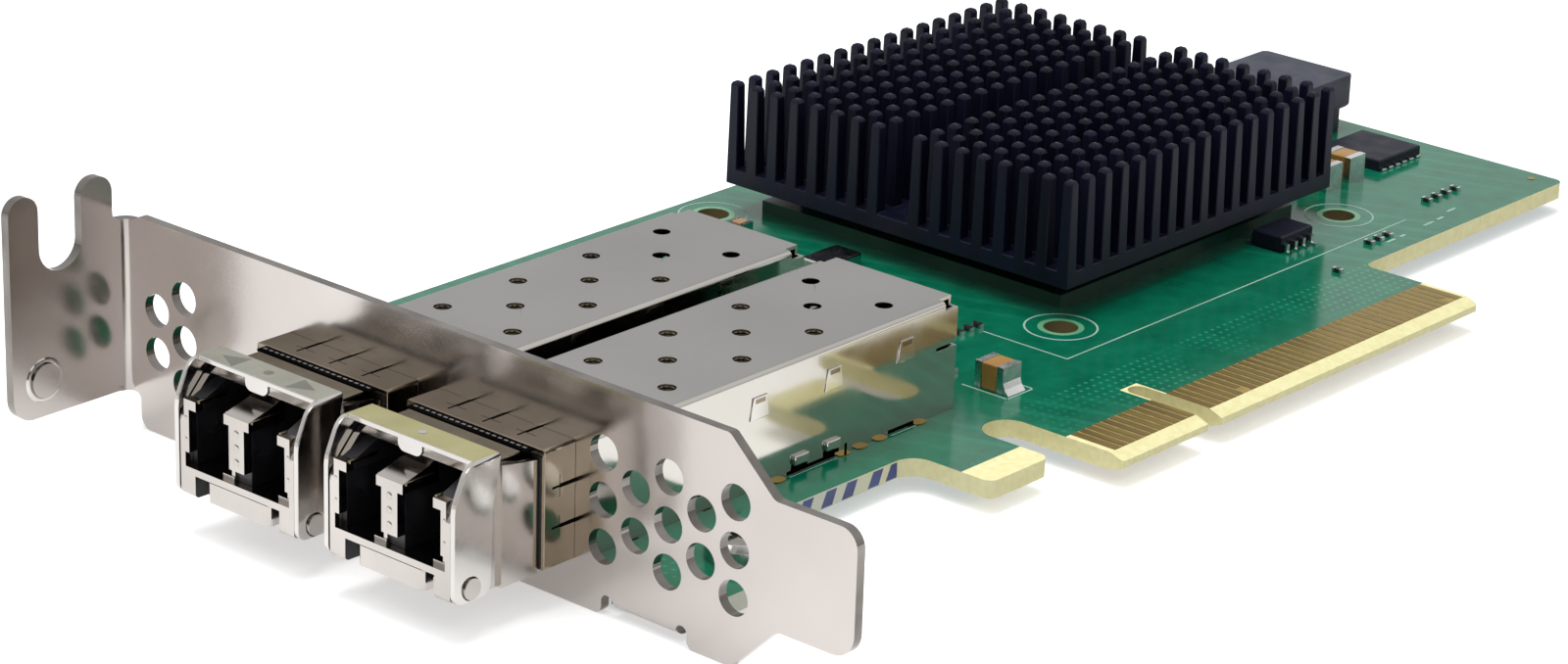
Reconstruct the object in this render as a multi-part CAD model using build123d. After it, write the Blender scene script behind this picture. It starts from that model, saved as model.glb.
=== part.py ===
from build123d import *
import os

# Two-port fibre network card with a low-profile bracket. Millimetres.
# X runs from the bracket's front face to the rear of the card, Y from the card-edge tip
# to the screw tab, Z up from the component side of the board.

# board
BOARD_T = 1.57
BOARD_FRONT = 1.5
BOARD_REAR = 133.4
BOARD_TOP = 66.6
BOARD_STEP = 12.3
FOOT_REAR = 17.5
FOOT_TIP = 4.1
HOOK_FRONT = 35.4
HOOK_REAR = 43.0
HOOK_TIP = 4.1
CORNER_R = 1.0

# card edge connector, eight lanes
PIN_PITCH = 1.0
PINS_SHORT = 11
PINS_LONG = 38
END_MARGIN = 1.1
KEY_MARGIN = 0.55
KEY_W = 1.9
KEY_DEPTH = 8.9
TONGUE_FRONT = 47.3
BEVEL_LEN = 1.3
BEVEL_DROP = 0.48
PAD_W = 0.7
PAD_T = 0.04
PAD_FOOT = 1.35
PAD_HEAD = 5.85
PAD_SHORT = 1.1

# bracket sheet
SHEET = 0.86
BEND_IN = 0.6
FACE_LOW = -3.0
FACE_W = 18.42
NECK_LOW = 0.0
NECK_W = 14.95
BRACKET_LEN = 79.2
TAIL_END = -11.64
SEAT_Y = TAIL_END + BRACKET_LEN - SHEET
TAB_REACH = 12.1
TAB_LOW = 0.1
TAB_W = 19.05
SLOT_W = 4.42
SLOT_X = -6.85
SLOT_FLOOR = 12.2
PRONG_REAR = -1.4
TAIL_LOW = 1.2
TAIL_W = 10.19
TAIL_START = -3.8
TAIL_LOW_START = -4.3
STUD_X = -8.9
STUD_Z = 3.25
STUD_R = 1.45
STUD_H = 0.35
VENT_R = 1.43
VENT_PITCH = 3.8
VENT_ROW_Z = 6.35
VENT_RIGHT_Y = 6.55
VENT_LEFT_Y = SEAT_Y - 3.6

# bracket ears and their screws
EAR_W = 6.5
EAR_REACH = 14.2
EAR_Y = (8.8, 52.6)
EAR_GAP = 1.1
EAR_GAP_TOP = -1.3
EAR_MOUTH_R = 0.7
SCREW_X = 10.4
SCREW_R = 1.45
SCREW_HOLE_R = 1.6
SCREW_HEAD_R = 2.6
SCREW_HEAD_H = 1.7
SCREW_RIM = 0.5
RECESS_W = 0.6
RECESS_L = 2.8
RECESS_D = 0.8
WINDOW_GAP = 0.12

# plug-in optical module, measured from its port's centre line
BODY_HALF = 6.65
CAGE_FLOOR = 0.75
FLOOR_T = 0.25
BODY_LOW = CAGE_FLOOR + FLOOR_T
BODY_TOP = 9.45
BODY_REAR = 34.5
BODY_SPLIT = 5.3
BODY_WALL = 0.9
COVER_T = 0.45
HEAD_FRONT = -12.2
HEAD_REAR = -3.4
HEAD_HALF = BODY_HALF - 0.25
HEAD_WIDE = BODY_HALF + 0.1
HEAD_WIDE_FRONT = -7.2
HEAD_LOW = 0.3
HEAD_TOP = 10.25
HEAD_SHOULDER = 7.1
HEAD_CREST = -7.2
HEAD_WALL = 0.55
ROOF_FRONT = -8.9
ROOF_T = 0.7
ROOF_STEP = -6.5
ROOF_LOW = 8.9
SILL = 2.9
SILL_SLOT_HALF = 4.75
SILL_SLOT_REAR = -9.9
BORE_IN = 0.85
BORE_OUT = 5.4
BORE_TOP = 7.7
KEYWAY_IN = 1.4
KEYWAY_OUT = 4.6
ARM_TOP = 8.5
PILLAR_T = 0.8
STEM_FOOT = 4.1
CHAMBER_REAR = -3.6
FERRULE_Z = 5.2
FERRULE_R = 1.0
FERRULE_LEN = 4.6
BARREL_R = 1.45
MODULE_BOARD_LOW = 3.7
MODULE_BOARD_T = 1.0
MODULE_BOARD_HALF = BODY_HALF - 2.05
MODULE_BOARD_FRONT = CHAMBER_REAR + 8.5
BARREL_FRONT = CHAMBER_REAR + 1.0
BARREL_NECK = 3.0
BARREL_LEN = 4.0
MODULE_BOARD_REAR = 40.0

# ports: two cages side by side
CAGE_FRONT = -3.0
CAGE_REAR = 45.6
CAGE_T = 0.3
BODY_PLAY = 0.05
CAGE_HALF = BODY_HALF + BODY_PLAY + CAGE_T
CAGE_SPACING = 2.75
RIGHT_Y = 23.35
PORT_Y = {"right": RIGHT_Y, "left": RIGHT_Y + 2 * CAGE_HALF + CAGE_SPACING}
CAGE_TOP = BODY_TOP + BODY_PLAY + CAGE_T
FLOOR_REAR = 33.5
HOLE_R = 0.75
HOLE_X = 13.7
HOLE_PITCH = 8.67
HOLE_ROW = 3.95
LANCE_X = 21.15
LANCE_PITCH = 8.95
LANCE_L = 1.7
LANCE_LOW = 6.1
LANCE_HIGH = 7.9
VENT_SLOT_X = (12.5, 16.9)
VENT_SLOT_L = 2.4
VENT_SLOT_LOW = 1.3
SEAM_W = 0.3
SEAM_LOW = 5.65
SEAM_L = 2.6
CORNER_CUT = 1.6
REAR_POST = 1.2
REAR_DOOR = 2.2
PIN_X = (7.0, 15.3, 23.6, 31.9, 40.2)
PIN_W = 0.7
PIN_LEN = 1.3
PIN_SLOT = 0.15
COLLAR_FRONT = -3.3
COLLAR_HALF = CAGE_HALF + 0.35
COLLAR_LOW = CAGE_FLOOR - 0.15
COLLAR_TOP = CAGE_TOP + 0.6
SLIT_W = 0.28
SLIT_LEN = 1.65
CATCH_X = 5.8
CATCH_L = 2.0
CATCH_W = 2.4
HOST_FRONT = 35.0
HOST_REAR = 43.6
HOST_HALF = CAGE_HALF - 1.4
HOST_TOP = 6.3

# bail and latch
PIVOT_X = -10.55
PIVOT_Z = 1.4
PIVOT_R = 0.85
PIVOT_CLEAR = 0.07
BAIL_IN = HEAD_HALF + 0.1
BAIL_T = 0.45
BAIL_ROUND = BAIL_T - 0.1
BAIL_FRONT = -12.3
BAIL_LOW = 0.35
BAIL_SHOULDER = 8.2
BAIL_CROWN = -10.9
BAIL_PLATE_FRONT = -10.1
BAIL_PLATE_REAR = -7.5
BAIL_WAIST = 7.2
BAIL_WAIST_REAR = -8.25
BAIL_FOOT_REAR = -8.5
BAIL_TOP = 11.35
TONGUE_HALF = 1.3
TONGUE_LOW = BAIL_TOP - 1.4
TONGUE_T = 0.3
ROCKER_HALF = 3.2
ROCKER_FACE_HALF = 3.55
ROCKER_LOW = 1.2
ROCKER_T = 1.0
ROCKER_PIN_X = -4.2
ROCKER_PIN_R = 0.25
ROCKER_SIDE_GAP = 0.12
ROCKER_REAR = 7.2
ROCKER_SLOPE = 0.09

# controller chip and heat sink
CHIP_X = 88.1
CHIP_Y = 42.2
SINK_HALF = 19.95
SINK_OVERHANG = 2.45
CHIP_HALF = SINK_HALF - SINK_OVERHANG
SUBSTRATE_T = 1.2
LID_MARGIN = 2.5
LID_HALF = CHIP_HALF - LID_MARGIN
LID_T = 1.6
PAD_MARGIN = 0.5
PAD_GAP = 0.15
SINK_BASE_T = 1.5
SINK_TOP = 12.8
SINK_PINS = 17
SINK_PIN_W = 1.25
SINK_HOLE_DX = 21.1
SINK_HOLE_DY = 20.4
SINK_HOLE_R = 1.5

# other parts on the board
INDUCTOR_X = 126.1
INDUCTOR_Y = 41.3
INDUCTOR_HALF = 5.4
INDUCTOR_TOP = 5.8
INDUCTOR_NECK = 2.3
INDUCTOR_INSET = 0.8
DRIVER_X = 117.0
DRIVER_Y = 44.5
DRIVER_HALF_W = 1.95
MEMORY_X = 98.9
MEMORY_CLEAR = 1.25
MEMORY_HALF_W = 1.6
PACKAGE_HALF_L = 2.45
PACKAGE_TOP = 1.6
PACKAGE_FLOOR = 0.15
LEADS_A_SIDE = 4
LEAD_PITCH = 1.27
LEAD_W = 0.4
LEAD_T = 0.18
LEAD_REACH = 1.0
LEAD_HEEL = 0.45
LEAD_ROOT = 0.55
STAGE_X = 126.1
STAGE_Y = 29.8
STAGE_L = 7.0
STAGE_W = 6.8
STAGE_H = 1.1
CRYSTAL_X = 64.0
CRYSTAL_Y = 45.6
CRYSTAL_L = 5.0
CRYSTAL_W = 3.2
CRYSTAL_H = 1.2
EXTRA = 1.0


def block(x0, x1, y0, y1, z0, z1):
    """A box given by its lowest and highest corners."""
    middle = Pos((x0 + x1) / 2, (y0 + y1) / 2, (z0 + z1) / 2)
    return middle * Box(x1 - x0, y1 - y0, z1 - z0)


def centred_block(x, y, length, width, height):
    """A box that stands on the board."""
    return block(x - length / 2, x + length / 2, y - width / 2, y + width / 2, 0, height)


def profile(points, plane=Plane.XY):
    """A flat outline. A point's third number rounds that corner."""
    face = make_face(Polyline(*[(p[0], p[1]) for p in points], close=True))
    for radius in sorted({p[2] for p in points if len(p) > 2}):
        corners = [p for p in points if len(p) > 2 and p[2] == radius]
        picks = [v for v in face.vertices()
                 if any(abs(v.X - p[0]) < 1e-6 and abs(v.Y - p[1]) < 1e-6 for p in corners)]
        face = fillet(picks, radius)
    return plane * face


def slab(points, plane, low, high):
    """An outline on the plane through the origin, made solid from low to high."""
    normal = plane.z_dir
    lift = Pos(normal.X * low, normal.Y * low, normal.Z * low)
    return lift * extrude(profile(points, plane), high - low)


SIDE = Plane(origin=(0, 0, 0), x_dir=(-1, 0, 0), z_dir=(0, 1, 0))


def side_slab(points, y0, y1):
    """An (x, z) outline made solid from y0 to y1."""
    return slab([(-p[0],) + tuple(p[1:]) for p in points], SIDE, y0, y1)


def front_slab(points, x0, x1):
    """A (y, z) outline made solid from x0 to x1."""
    return slab(points, Plane.YZ, x0, x1)


def rod(x, y, z, radius, length, axis):
    """A cylinder that starts at a point and runs along +X, +Y or +Z."""
    turn = {"X": Rot(0, 90, 0), "Y": Rot(-90, 0, 0), "Z": Rot(0, 0, 0)}[axis]
    up = (Align.CENTER, Align.CENTER, Align.MIN)
    return Pos(x, y, z) * turn * Cylinder(radius, length, align=up)


def pad_places():
    """Centres of the contact pads along the card edge."""
    key = TONGUE_FRONT + END_MARGIN + (PINS_SHORT - 1) * PIN_PITCH + KEY_MARGIN
    first = [key - KEY_MARGIN - i * PIN_PITCH for i in range(PINS_SHORT)]
    second = [key + KEY_W + KEY_MARGIN + i * PIN_PITCH for i in range(PINS_LONG)]
    return first[::-1], second


def key_front():
    return pad_places()[0][-1] + KEY_MARGIN


def tongue_rear():
    return pad_places()[1][-1] + END_MARGIN


def circuit_board():
    """The board with its foot, hook, keyed tongue, bevel and holes."""
    slot_r = (TONGUE_FRONT - HOOK_REAR) / 2 - 0.05
    outline = [
        (BOARD_FRONT, FOOT_TIP, CORNER_R), (FOOT_REAR, FOOT_TIP, CORNER_R),
        (FOOT_REAR, BOARD_STEP, CORNER_R), (HOOK_FRONT, BOARD_STEP, 2 * CORNER_R),
        (HOOK_FRONT, HOOK_TIP, CORNER_R), (HOOK_REAR, HOOK_TIP, CORNER_R),
        (HOOK_REAR, BOARD_STEP, slot_r), (TONGUE_FRONT, BOARD_STEP, slot_r),
        (TONGUE_FRONT, 0, 0.4), (tongue_rear(), 0, 0.4),
        (tongue_rear(), BOARD_STEP, CORNER_R), (BOARD_REAR, BOARD_STEP, CORNER_R),
        (BOARD_REAR, BOARD_TOP, CORNER_R), (BOARD_FRONT, BOARD_TOP, CORNER_R),
    ]
    board = slab(outline, Plane.XY, -BOARD_T, 0)
    key_r = KEY_W / 2
    key_end = KEY_DEPTH - key_r
    key_mid = key_front() + key_r
    board -= block(key_front(), key_front() + KEY_W, -EXTRA, key_end, -BOARD_T - EXTRA, EXTRA)
    board -= rod(key_mid, key_end, -BOARD_T - EXTRA, key_r, BOARD_T + 2 * EXTRA, "Z")
    slope = BEVEL_DROP / BEVEL_LEN
    for side, face in ((1, 0), (-1, -BOARD_T)):
        wedge = [(BEVEL_LEN, face), (-EXTRA, face - side * slope * (BEVEL_LEN + EXTRA)),
                 (-EXTRA, face + side * EXTRA), (BEVEL_LEN, face + side * EXTRA)]
        board -= front_slab(wedge, TONGUE_FRONT - EXTRA / 2, tongue_rear() + EXTRA / 2)
    for dx in (-SINK_HOLE_DX, SINK_HOLE_DX):
        for dy in (-SINK_HOLE_DY, SINK_HOLE_DY):
            board -= rod(CHIP_X + dx, CHIP_Y + dy, -BOARD_T - EXTRA, SINK_HOLE_R,
                         BOARD_T + 2 * EXTRA, "Z")
    for ear_y in EAR_Y:
        board -= rod(SCREW_X, ear_y, -BOARD_T - EXTRA, SCREW_HOLE_R, BOARD_T + 2 * EXTRA, "Z")
    for centre in PORT_Y.values():
        for x, y0, y1 in pin_places(centre):
            board -= block(x - PIN_W / 2 - PIN_SLOT, x + PIN_W / 2 + PIN_SLOT,
                           y0 - PIN_SLOT, y1 + PIN_SLOT, -BOARD_T - EXTRA, EXTRA)
    return board


def edge_contacts(top):
    """Contact pads on one side of the tongue. The outermost are shorter."""
    first, second = pad_places()
    pads = []
    for x in first + second:
        short = x in (second[0] + 5 * PIN_PITCH, second[-2])
        foot = PAD_FOOT + (PAD_SHORT if short else 0)
        z0, z1 = (0, PAD_T) if top else (-BOARD_T - PAD_T, -BOARD_T)
        pads.append(block(x - PAD_W / 2, x + PAD_W / 2, foot, PAD_HEAD, z0, z1))
    return Compound(children=pads)


def vent_places():
    """Vent hole centres on the bracket face, a close-packed pattern."""
    step = VENT_PITCH * 3 ** 0.5 / 2
    places = []
    for column in range(-2, 3):
        y = VENT_RIGHT_Y + column * step
        if column % 2 == 0:
            places += [(y, VENT_ROW_Z + k * VENT_PITCH) for k in (-1, 0, 1)]
        else:
            places += [(y, VENT_ROW_Z + k * VENT_PITCH) for k in (-0.5, 0.5)]
    low = VENT_ROW_Z - VENT_PITCH / 2
    places += [(VENT_LEFT_Y, low + k * VENT_PITCH - 0.4) for k in (0, 1)]
    places += [(VENT_LEFT_Y - step, low + k * VENT_PITCH - 0.4) for k in (-0.5, 0.5, 1.5)]
    return places


def bracket_face_outline():
    high = FACE_LOW + FACE_W
    tail_high = TAIL_LOW + TAIL_W
    neck_high = NECK_LOW + NECK_W
    return [
        (SEAT_Y - 1.4, FACE_LOW, 1.2), (SEAT_Y - 1.4, NECK_LOW, 0.6), (SEAT_Y + 3, NECK_LOW),
        (SEAT_Y + 3, neck_high), (SEAT_Y - 0.9, neck_high), (SEAT_Y - 1.5, high, 0.5),
        (0.7, high, 0.6), (TAIL_START, tail_high, 1.0), (TAIL_END, tail_high, 1.6),
        (TAIL_END, TAIL_LOW, 2.0), (TAIL_LOW_START, TAIL_LOW, 1.2), (0, FACE_LOW, 0.5),
        (EAR_Y[0], FACE_LOW),
    ]


def bracket_tab_outline():
    high = TAB_LOW + TAB_W
    slot_r = SLOT_W / 2
    mid = (SLOT_X - slot_r - TAB_REACH) / 2
    return [
        (BEND_IN + SHEET + 1, NECK_LOW), (-0.5, NECK_LOW), (-1.2, TAB_LOW),
        (-TAB_REACH, TAB_LOW, 2.0), (-TAB_REACH, high, 1.45), (SLOT_X - slot_r, high, 1.45),
        (SLOT_X - slot_r, SLOT_FLOOR, slot_r - 0.01), (SLOT_X + slot_r, SLOT_FLOOR, slot_r - 0.01),
        (SLOT_X + slot_r, high, 1.55), (PRONG_REAR, high, 1.55),
        (PRONG_REAR, NECK_LOW + NECK_W, 0.8), (BEND_IN + SHEET + 1, NECK_LOW + NECK_W),
    ]


def mounting_bracket():
    """Folded sheet: face, screw tab, tail, ears, port windows and vents."""
    high = FACE_LOW + FACE_W
    bend = [
        (0, TAIL_END - EXTRA), (SHEET, TAIL_END - EXTRA),
        (SHEET, SEAT_Y + SHEET, BEND_IN + SHEET), (-TAB_REACH - EXTRA, SEAT_Y + SHEET),
        (-TAB_REACH - EXTRA, SEAT_Y), (0, SEAT_Y, BEND_IN),
    ]
    folded = slab(bend, Plane.XY, FACE_LOW, TAB_LOW + TAB_W)
    face_mask = front_slab(bracket_face_outline(), -EXTRA / 2, SHEET + EXTRA)
    tab_mask = side_slab(bracket_tab_outline(), SEAT_Y - 1.45, SEAT_Y + SHEET + EXTRA)
    front_part = folded & face_mask & block(-EXTRA, SHEET + EXTRA, TAIL_END - EXTRA,
                                            SEAT_Y - BEND_IN, FACE_LOW, high)
    tab_part = folded & tab_mask & block(-TAB_REACH - EXTRA, SHEET + EXTRA, SEAT_Y - BEND_IN,
                                         SEAT_Y + SHEET + EXTRA, FACE_LOW, TAB_LOW + TAB_W)
    bracket = front_part + tab_part
    for ear_y in EAR_Y:
        for side in (-1, 1):
            y = ear_y + side * (EAR_W + EAR_GAP) / 2
            bracket -= block(-EXTRA, SHEET + EXTRA, y - EAR_GAP / 2, y + EAR_GAP / 2,
                             FACE_LOW - EXTRA, EAR_GAP_TOP - EAR_GAP / 2)
            bracket -= rod(-EXTRA, y, EAR_GAP_TOP - EAR_GAP / 2, EAR_GAP / 2,
                           SHEET + 2 * EXTRA, "X")
        bracket -= block(-EXTRA, SHEET + EXTRA, ear_y - EAR_W / 2, ear_y + EAR_W / 2,
                         FACE_LOW - EXTRA, EAR_GAP_TOP)
        low = -BOARD_T - SHEET
        fold = [
            (0, EAR_GAP_TOP), (0, low, BEND_IN + SHEET - 0.4), (EAR_REACH, low),
            (EAR_REACH, -BOARD_T), (SHEET, -BOARD_T, 0.25), (SHEET, EAR_GAP_TOP),
        ]
        bracket += side_slab(fold, ear_y - EAR_W / 2, ear_y + EAR_W / 2)
        bracket -= rod(SCREW_X, ear_y, low - EXTRA, SCREW_R, SHEET + 2 * EXTRA, "Z")
    for centre in PORT_Y.values():
        bracket -= block(-EXTRA, SHEET + EXTRA, centre - CAGE_HALF - WINDOW_GAP,
                         centre + CAGE_HALF + WINDOW_GAP, CAGE_FLOOR - WINDOW_GAP,
                         CAGE_TOP + WINDOW_GAP)
    for y, z in vent_places():
        bracket -= rod(-EXTRA, y, z, VENT_R, SHEET + 2 * EXTRA, "X")
    bracket += rod(STUD_X, SEAT_Y - STUD_H, STUD_Z, STUD_R, STUD_H + 0.1, "Y")
    bracket -= rod(STUD_X, SEAT_Y + SHEET - STUD_H, STUD_Z, STUD_R, STUD_H + 0.1, "Y")
    mouths = [ear_y + side * (EAR_W / 2 + EAR_GAP) for ear_y in EAR_Y for side in (-1, 1)]
    corners = [edge for edge in bracket.edges().filter_by(Axis.X)
               if abs(edge.center().Z - FACE_LOW) < 1e-3
               and min(abs(edge.center().Y - y) for y in mouths) < 1e-3]
    return fillet(corners, EAR_MOUTH_R)


def bracket_screws():
    """Pan-head screws that clamp the board on the bracket's ears."""
    screws = []
    for ear_y in EAR_Y:
        head = rod(SCREW_X, ear_y, 0, SCREW_HEAD_R, SCREW_HEAD_H, "Z")
        head = chamfer(head.edges().sort_by(Axis.Z)[-1], SCREW_RIM)
        top = SCREW_HEAD_H
        for length, width in ((RECESS_L, RECESS_W), (RECESS_W, RECESS_L)):
            head -= block(SCREW_X - length / 2, SCREW_X + length / 2, ear_y - width / 2,
                          ear_y + width / 2, top - RECESS_D, top + EXTRA)
        shank = rod(SCREW_X, ear_y, -BOARD_T - SHEET - 0.25, SCREW_R, BOARD_T + SHEET + 0.3, "Z")
        screws.append(head + shank)
    return Compound(children=screws)


def pin_places(centre):
    """Board pins of one cage: x of each, and the low and high y of its blade."""
    places = []
    for x in PIN_X:
        places.append((x, centre - CAGE_HALF, centre - CAGE_HALF + CAGE_T))
        places.append((x, centre + CAGE_HALF - CAGE_T, centre + CAGE_HALF))
    return places


def cage_hole_places(centre):
    places = [(HOLE_X + i * HOLE_PITCH, centre + s * HOLE_ROW) for i in range(4) for s in (-1, 1)]
    places += [(HOLE_X + (i + 0.5) * HOLE_PITCH, centre) for i in range(3)]
    return places


def cage_shell(centre):
    """Folded cage: roof, sides, rear wall, vents, windows and press-in pins."""
    low_y, high_y = centre - CAGE_HALF, centre + CAGE_HALF
    shell = block(CAGE_FRONT, CAGE_REAR, low_y, high_y, 0, CAGE_TOP)
    edges = shell.edges().filter_by(Axis.X).group_by(Axis.Z)[-1]
    shell = fillet(edges, 0.45)
    shell -= block(CAGE_FRONT - EXTRA, CAGE_REAR - CAGE_T, low_y + CAGE_T, high_y - CAGE_T,
                   -EXTRA, CAGE_TOP - CAGE_T)
    shell -= block(CAGE_FRONT - EXTRA, BOARD_FRONT + 0.3, low_y - EXTRA, high_y + EXTRA,
                   -EXTRA, CAGE_FLOOR)
    for x, y in cage_hole_places(centre):
        shell -= rod(x, y, CAGE_TOP - EXTRA, HOLE_R, 2 * EXTRA, "Z")
    for side in (-1, 1):
        y = centre + side * CAGE_HALF
        y0, y1 = y - 2 * CAGE_T, y + 2 * CAGE_T
        for i in range(3):
            x = LANCE_X + i * LANCE_PITCH - LANCE_L / 2
            shell -= block(x, x + LANCE_L, y0, y1, LANCE_LOW, LANCE_HIGH)
        for x in VENT_SLOT_X:
            shell -= block(x, x + VENT_SLOT_L, y0, y1, VENT_SLOT_LOW, VENT_SLOT_LOW + SEAM_W)
        shell -= block(CAGE_REAR - SEAM_L, CAGE_REAR + EXTRA, y0, y1, SEAM_LOW, SEAM_LOW + SEAM_W)
        shell -= block(CAGE_REAR - CORNER_CUT, CAGE_REAR + EXTRA, y - CORNER_CUT / 2, y + CORNER_CUT / 2,
                       CAGE_TOP - CORNER_CUT / 2, CAGE_TOP + EXTRA)
    shell -= block(CAGE_REAR - EXTRA, CAGE_REAR + EXTRA, low_y + REAR_POST, high_y - REAR_POST,
                   -EXTRA, REAR_DOOR)
    for x, y0, y1 in pin_places(centre):
        shell += block(x - PIN_W / 2, x + PIN_W / 2, y0, y1, -PIN_LEN, 0.2)
    return shell


def cage_base(centre):
    """Floor of the cage between its sides, with the latch window."""
    inner = CAGE_HALF - CAGE_T
    floor = block(CAGE_FRONT, FLOOR_REAR, centre - inner, centre + inner,
                  CAGE_FLOOR, CAGE_FLOOR + FLOOR_T)
    floor -= block(CATCH_X - CATCH_L / 2 - 0.5, CATCH_X + CATCH_L / 2 + 0.5,
                   centre - CATCH_W / 2 - 0.4, centre + CATCH_W / 2 + 0.4,
                   CAGE_FLOOR - EXTRA, CAGE_FLOOR + EXTRA)
    return floor


def emi_collar(centre):
    """Sprung shielding band around the cage mouth, in front of the bracket."""
    ring = block(COLLAR_FRONT, 0, centre - COLLAR_HALF, centre + COLLAR_HALF,
                 COLLAR_LOW, COLLAR_TOP)
    ring = fillet(ring.edges().filter_by(Axis.X), 0.3)
    ring -= block(COLLAR_FRONT - EXTRA, EXTRA, centre - CAGE_HALF, centre + CAGE_HALF,
                  CAGE_FLOOR, CAGE_TOP)
    width = 2 * COLLAR_HALF
    for i in range(1, 4):
        y = centre - COLLAR_HALF + width * i / 4
        ring -= block(-SLIT_LEN, EXTRA, y - SLIT_W / 2, y + SLIT_W / 2, CAGE_TOP, COLLAR_TOP + EXTRA)
        ring -= block(-SLIT_LEN, EXTRA, y - SLIT_W / 2, y + SLIT_W / 2, -EXTRA, CAGE_FLOOR)
    height = COLLAR_TOP - COLLAR_LOW
    for i in range(1, 3):
        z = COLLAR_LOW + height * i / 3
        for side in (-1, 1):
            y = centre + side * COLLAR_HALF
            ring -= block(-SLIT_LEN, EXTRA, y - 0.35, y + 0.35, z - SLIT_W / 2, z + SLIT_W / 2)
    return ring


def mouth_seal(centre):
    """Thin dark seal that lines the cage mouth inside the collar."""
    seal = block(COLLAR_FRONT, CAGE_FRONT, centre - CAGE_HALF, centre + CAGE_HALF,
                 CAGE_FLOOR, CAGE_TOP)
    inner = BODY_HALF + BODY_PLAY
    seal -= block(COLLAR_FRONT - EXTRA, CAGE_FRONT + EXTRA, centre - inner, centre + inner,
                  BODY_LOW, BODY_TOP + BODY_PLAY)
    return seal


def host_connector(centre):
    """Board connector at the back of the cage with its card slot."""
    body = block(HOST_FRONT, HOST_REAR, centre - HOST_HALF, centre + HOST_HALF, 0, HOST_TOP)
    body -= block(HOST_FRONT - EXTRA, HOST_REAR - 1.8, centre - MODULE_BOARD_HALF - 0.15,
                  centre + MODULE_BOARD_HALF + 0.15, MODULE_BOARD_LOW - 0.15,
                  MODULE_BOARD_LOW + MODULE_BOARD_T + 0.15)
    return body


def head_side_outline():
    """Side view of the module's nose."""
    return [
        (HEAD_FRONT, HEAD_LOW + 0.15, 0.4), (HEAD_FRONT, HEAD_SHOULDER, 1.2),
        (ROOF_FRONT - 0.75, HEAD_TOP - 0.45, 0.6), (ROOF_FRONT, HEAD_TOP), (HEAD_CREST, HEAD_TOP),
        (HEAD_REAR, BODY_TOP + 0.1), (HEAD_REAR, HEAD_LOW),
    ]


def module_housing(centre):
    """Die-cast lower housing with the nose, its port frame and the latch channel."""
    nose = side_slab(head_side_outline(), centre - HEAD_HALF, centre + HEAD_HALF)
    cheeks = side_slab([(HEAD_WIDE_FRONT, HEAD_LOW), (HEAD_WIDE_FRONT, HEAD_TOP - 0.1),
                        (HEAD_REAR, BODY_TOP + 0.1), (HEAD_REAR, HEAD_LOW)],
                       centre - HEAD_WIDE, centre + HEAD_WIDE)
    lower = block(HEAD_REAR, BODY_REAR, centre - BODY_HALF, centre + BODY_HALF, BODY_LOW, BODY_SPLIT)
    housing = nose + cheeks + lower
    inner = BODY_HALF - BODY_WALL
    housing -= block(CHAMBER_REAR + 1.0, BODY_REAR + EXTRA, centre - inner, centre + inner,
                     MODULE_BOARD_LOW, BODY_TOP + EXTRA)
    room = HEAD_HALF - HEAD_WALL
    housing -= block(HEAD_FRONT - EXTRA, ROOF_STEP, centre - room, centre + room,
                     SILL, HEAD_TOP - ROOF_T)
    housing -= block(HEAD_FRONT - EXTRA, CHAMBER_REAR + 1.1, centre - room, centre + room,
                     SILL, ROOF_LOW)
    housing -= block(HEAD_FRONT - EXTRA, ROOF_FRONT, centre - room, centre + room,
                     SILL, HEAD_TOP + EXTRA)
    housing += port_frame(centre)
    channel = ROCKER_FACE_HALF + ROCKER_SIDE_GAP
    roof = ROCKER_LOW + ROCKER_T + ROCKER_SIDE_GAP
    rear = ROCKER_REAR + 0.6
    rise = (rear - ROCKER_PIN_X) * ROCKER_SLOPE
    swing = [(HEAD_FRONT - EXTRA, -EXTRA), (HEAD_FRONT - EXTRA, roof), (ROCKER_PIN_X, roof),
             (rear, roof + rise), (rear, -EXTRA)]
    housing -= side_slab(swing, centre - channel, centre + channel)
    housing -= block(HEAD_FRONT - EXTRA, SILL_SLOT_REAR, centre - SILL_SLOT_HALF,
                     centre + SILL_SLOT_HALF, -EXTRA, roof)
    housing -= rod(ROCKER_PIN_X, centre - channel - EXTRA, ROCKER_LOW + ROCKER_T / 2, ROCKER_PIN_R,
                   2 * channel + 2 * EXTRA, "Y")
    for side in (-1, 1):
        foot = centre + (HEAD_HALF - 0.2 if side > 0 else -BAIL_IN - BAIL_T - 0.2)
        length = BAIL_IN + BAIL_T + 0.4 - HEAD_HALF
        housing += rod(PIVOT_X, foot, PIVOT_Z, PIVOT_R, length, "Y")
    return housing


def port_frame(centre):
    """Front frame of the two fibre ports: side pillars, hanging centre post and its rib."""
    room = HEAD_HALF - HEAD_WALL
    rear = HEAD_FRONT + PILLAR_T
    frame = block(HEAD_FRONT, rear, centre - BORE_IN, centre + BORE_IN, STEM_FOOT, BORE_TOP + 0.1)
    roof = HEAD_TOP - ROOF_T
    rib = [(HEAD_FRONT, BORE_TOP), (HEAD_FRONT, ARM_TOP), (ROOF_FRONT - 0.6, ARM_TOP + 0.75),
           (ROOF_FRONT, roof), (ROOF_FRONT + 0.5, roof), (ROOF_FRONT + 0.5, BORE_TOP)]
    frame += side_slab(rib, centre - KEYWAY_IN, centre + KEYWAY_IN)
    for side in (-1, 1):
        y0, y1 = sorted((centre + side * BORE_OUT, centre + side * (room + 0.1)))
        frame += block(HEAD_FRONT, rear, y0, y1, STEM_FOOT, BORE_TOP + 0.1)
        y0, y1 = sorted((centre + side * KEYWAY_OUT, centre + side * (room + 0.1)))
        frame += block(HEAD_FRONT, rear, y0, y1, BORE_TOP, ARM_TOP)
    return frame


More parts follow.
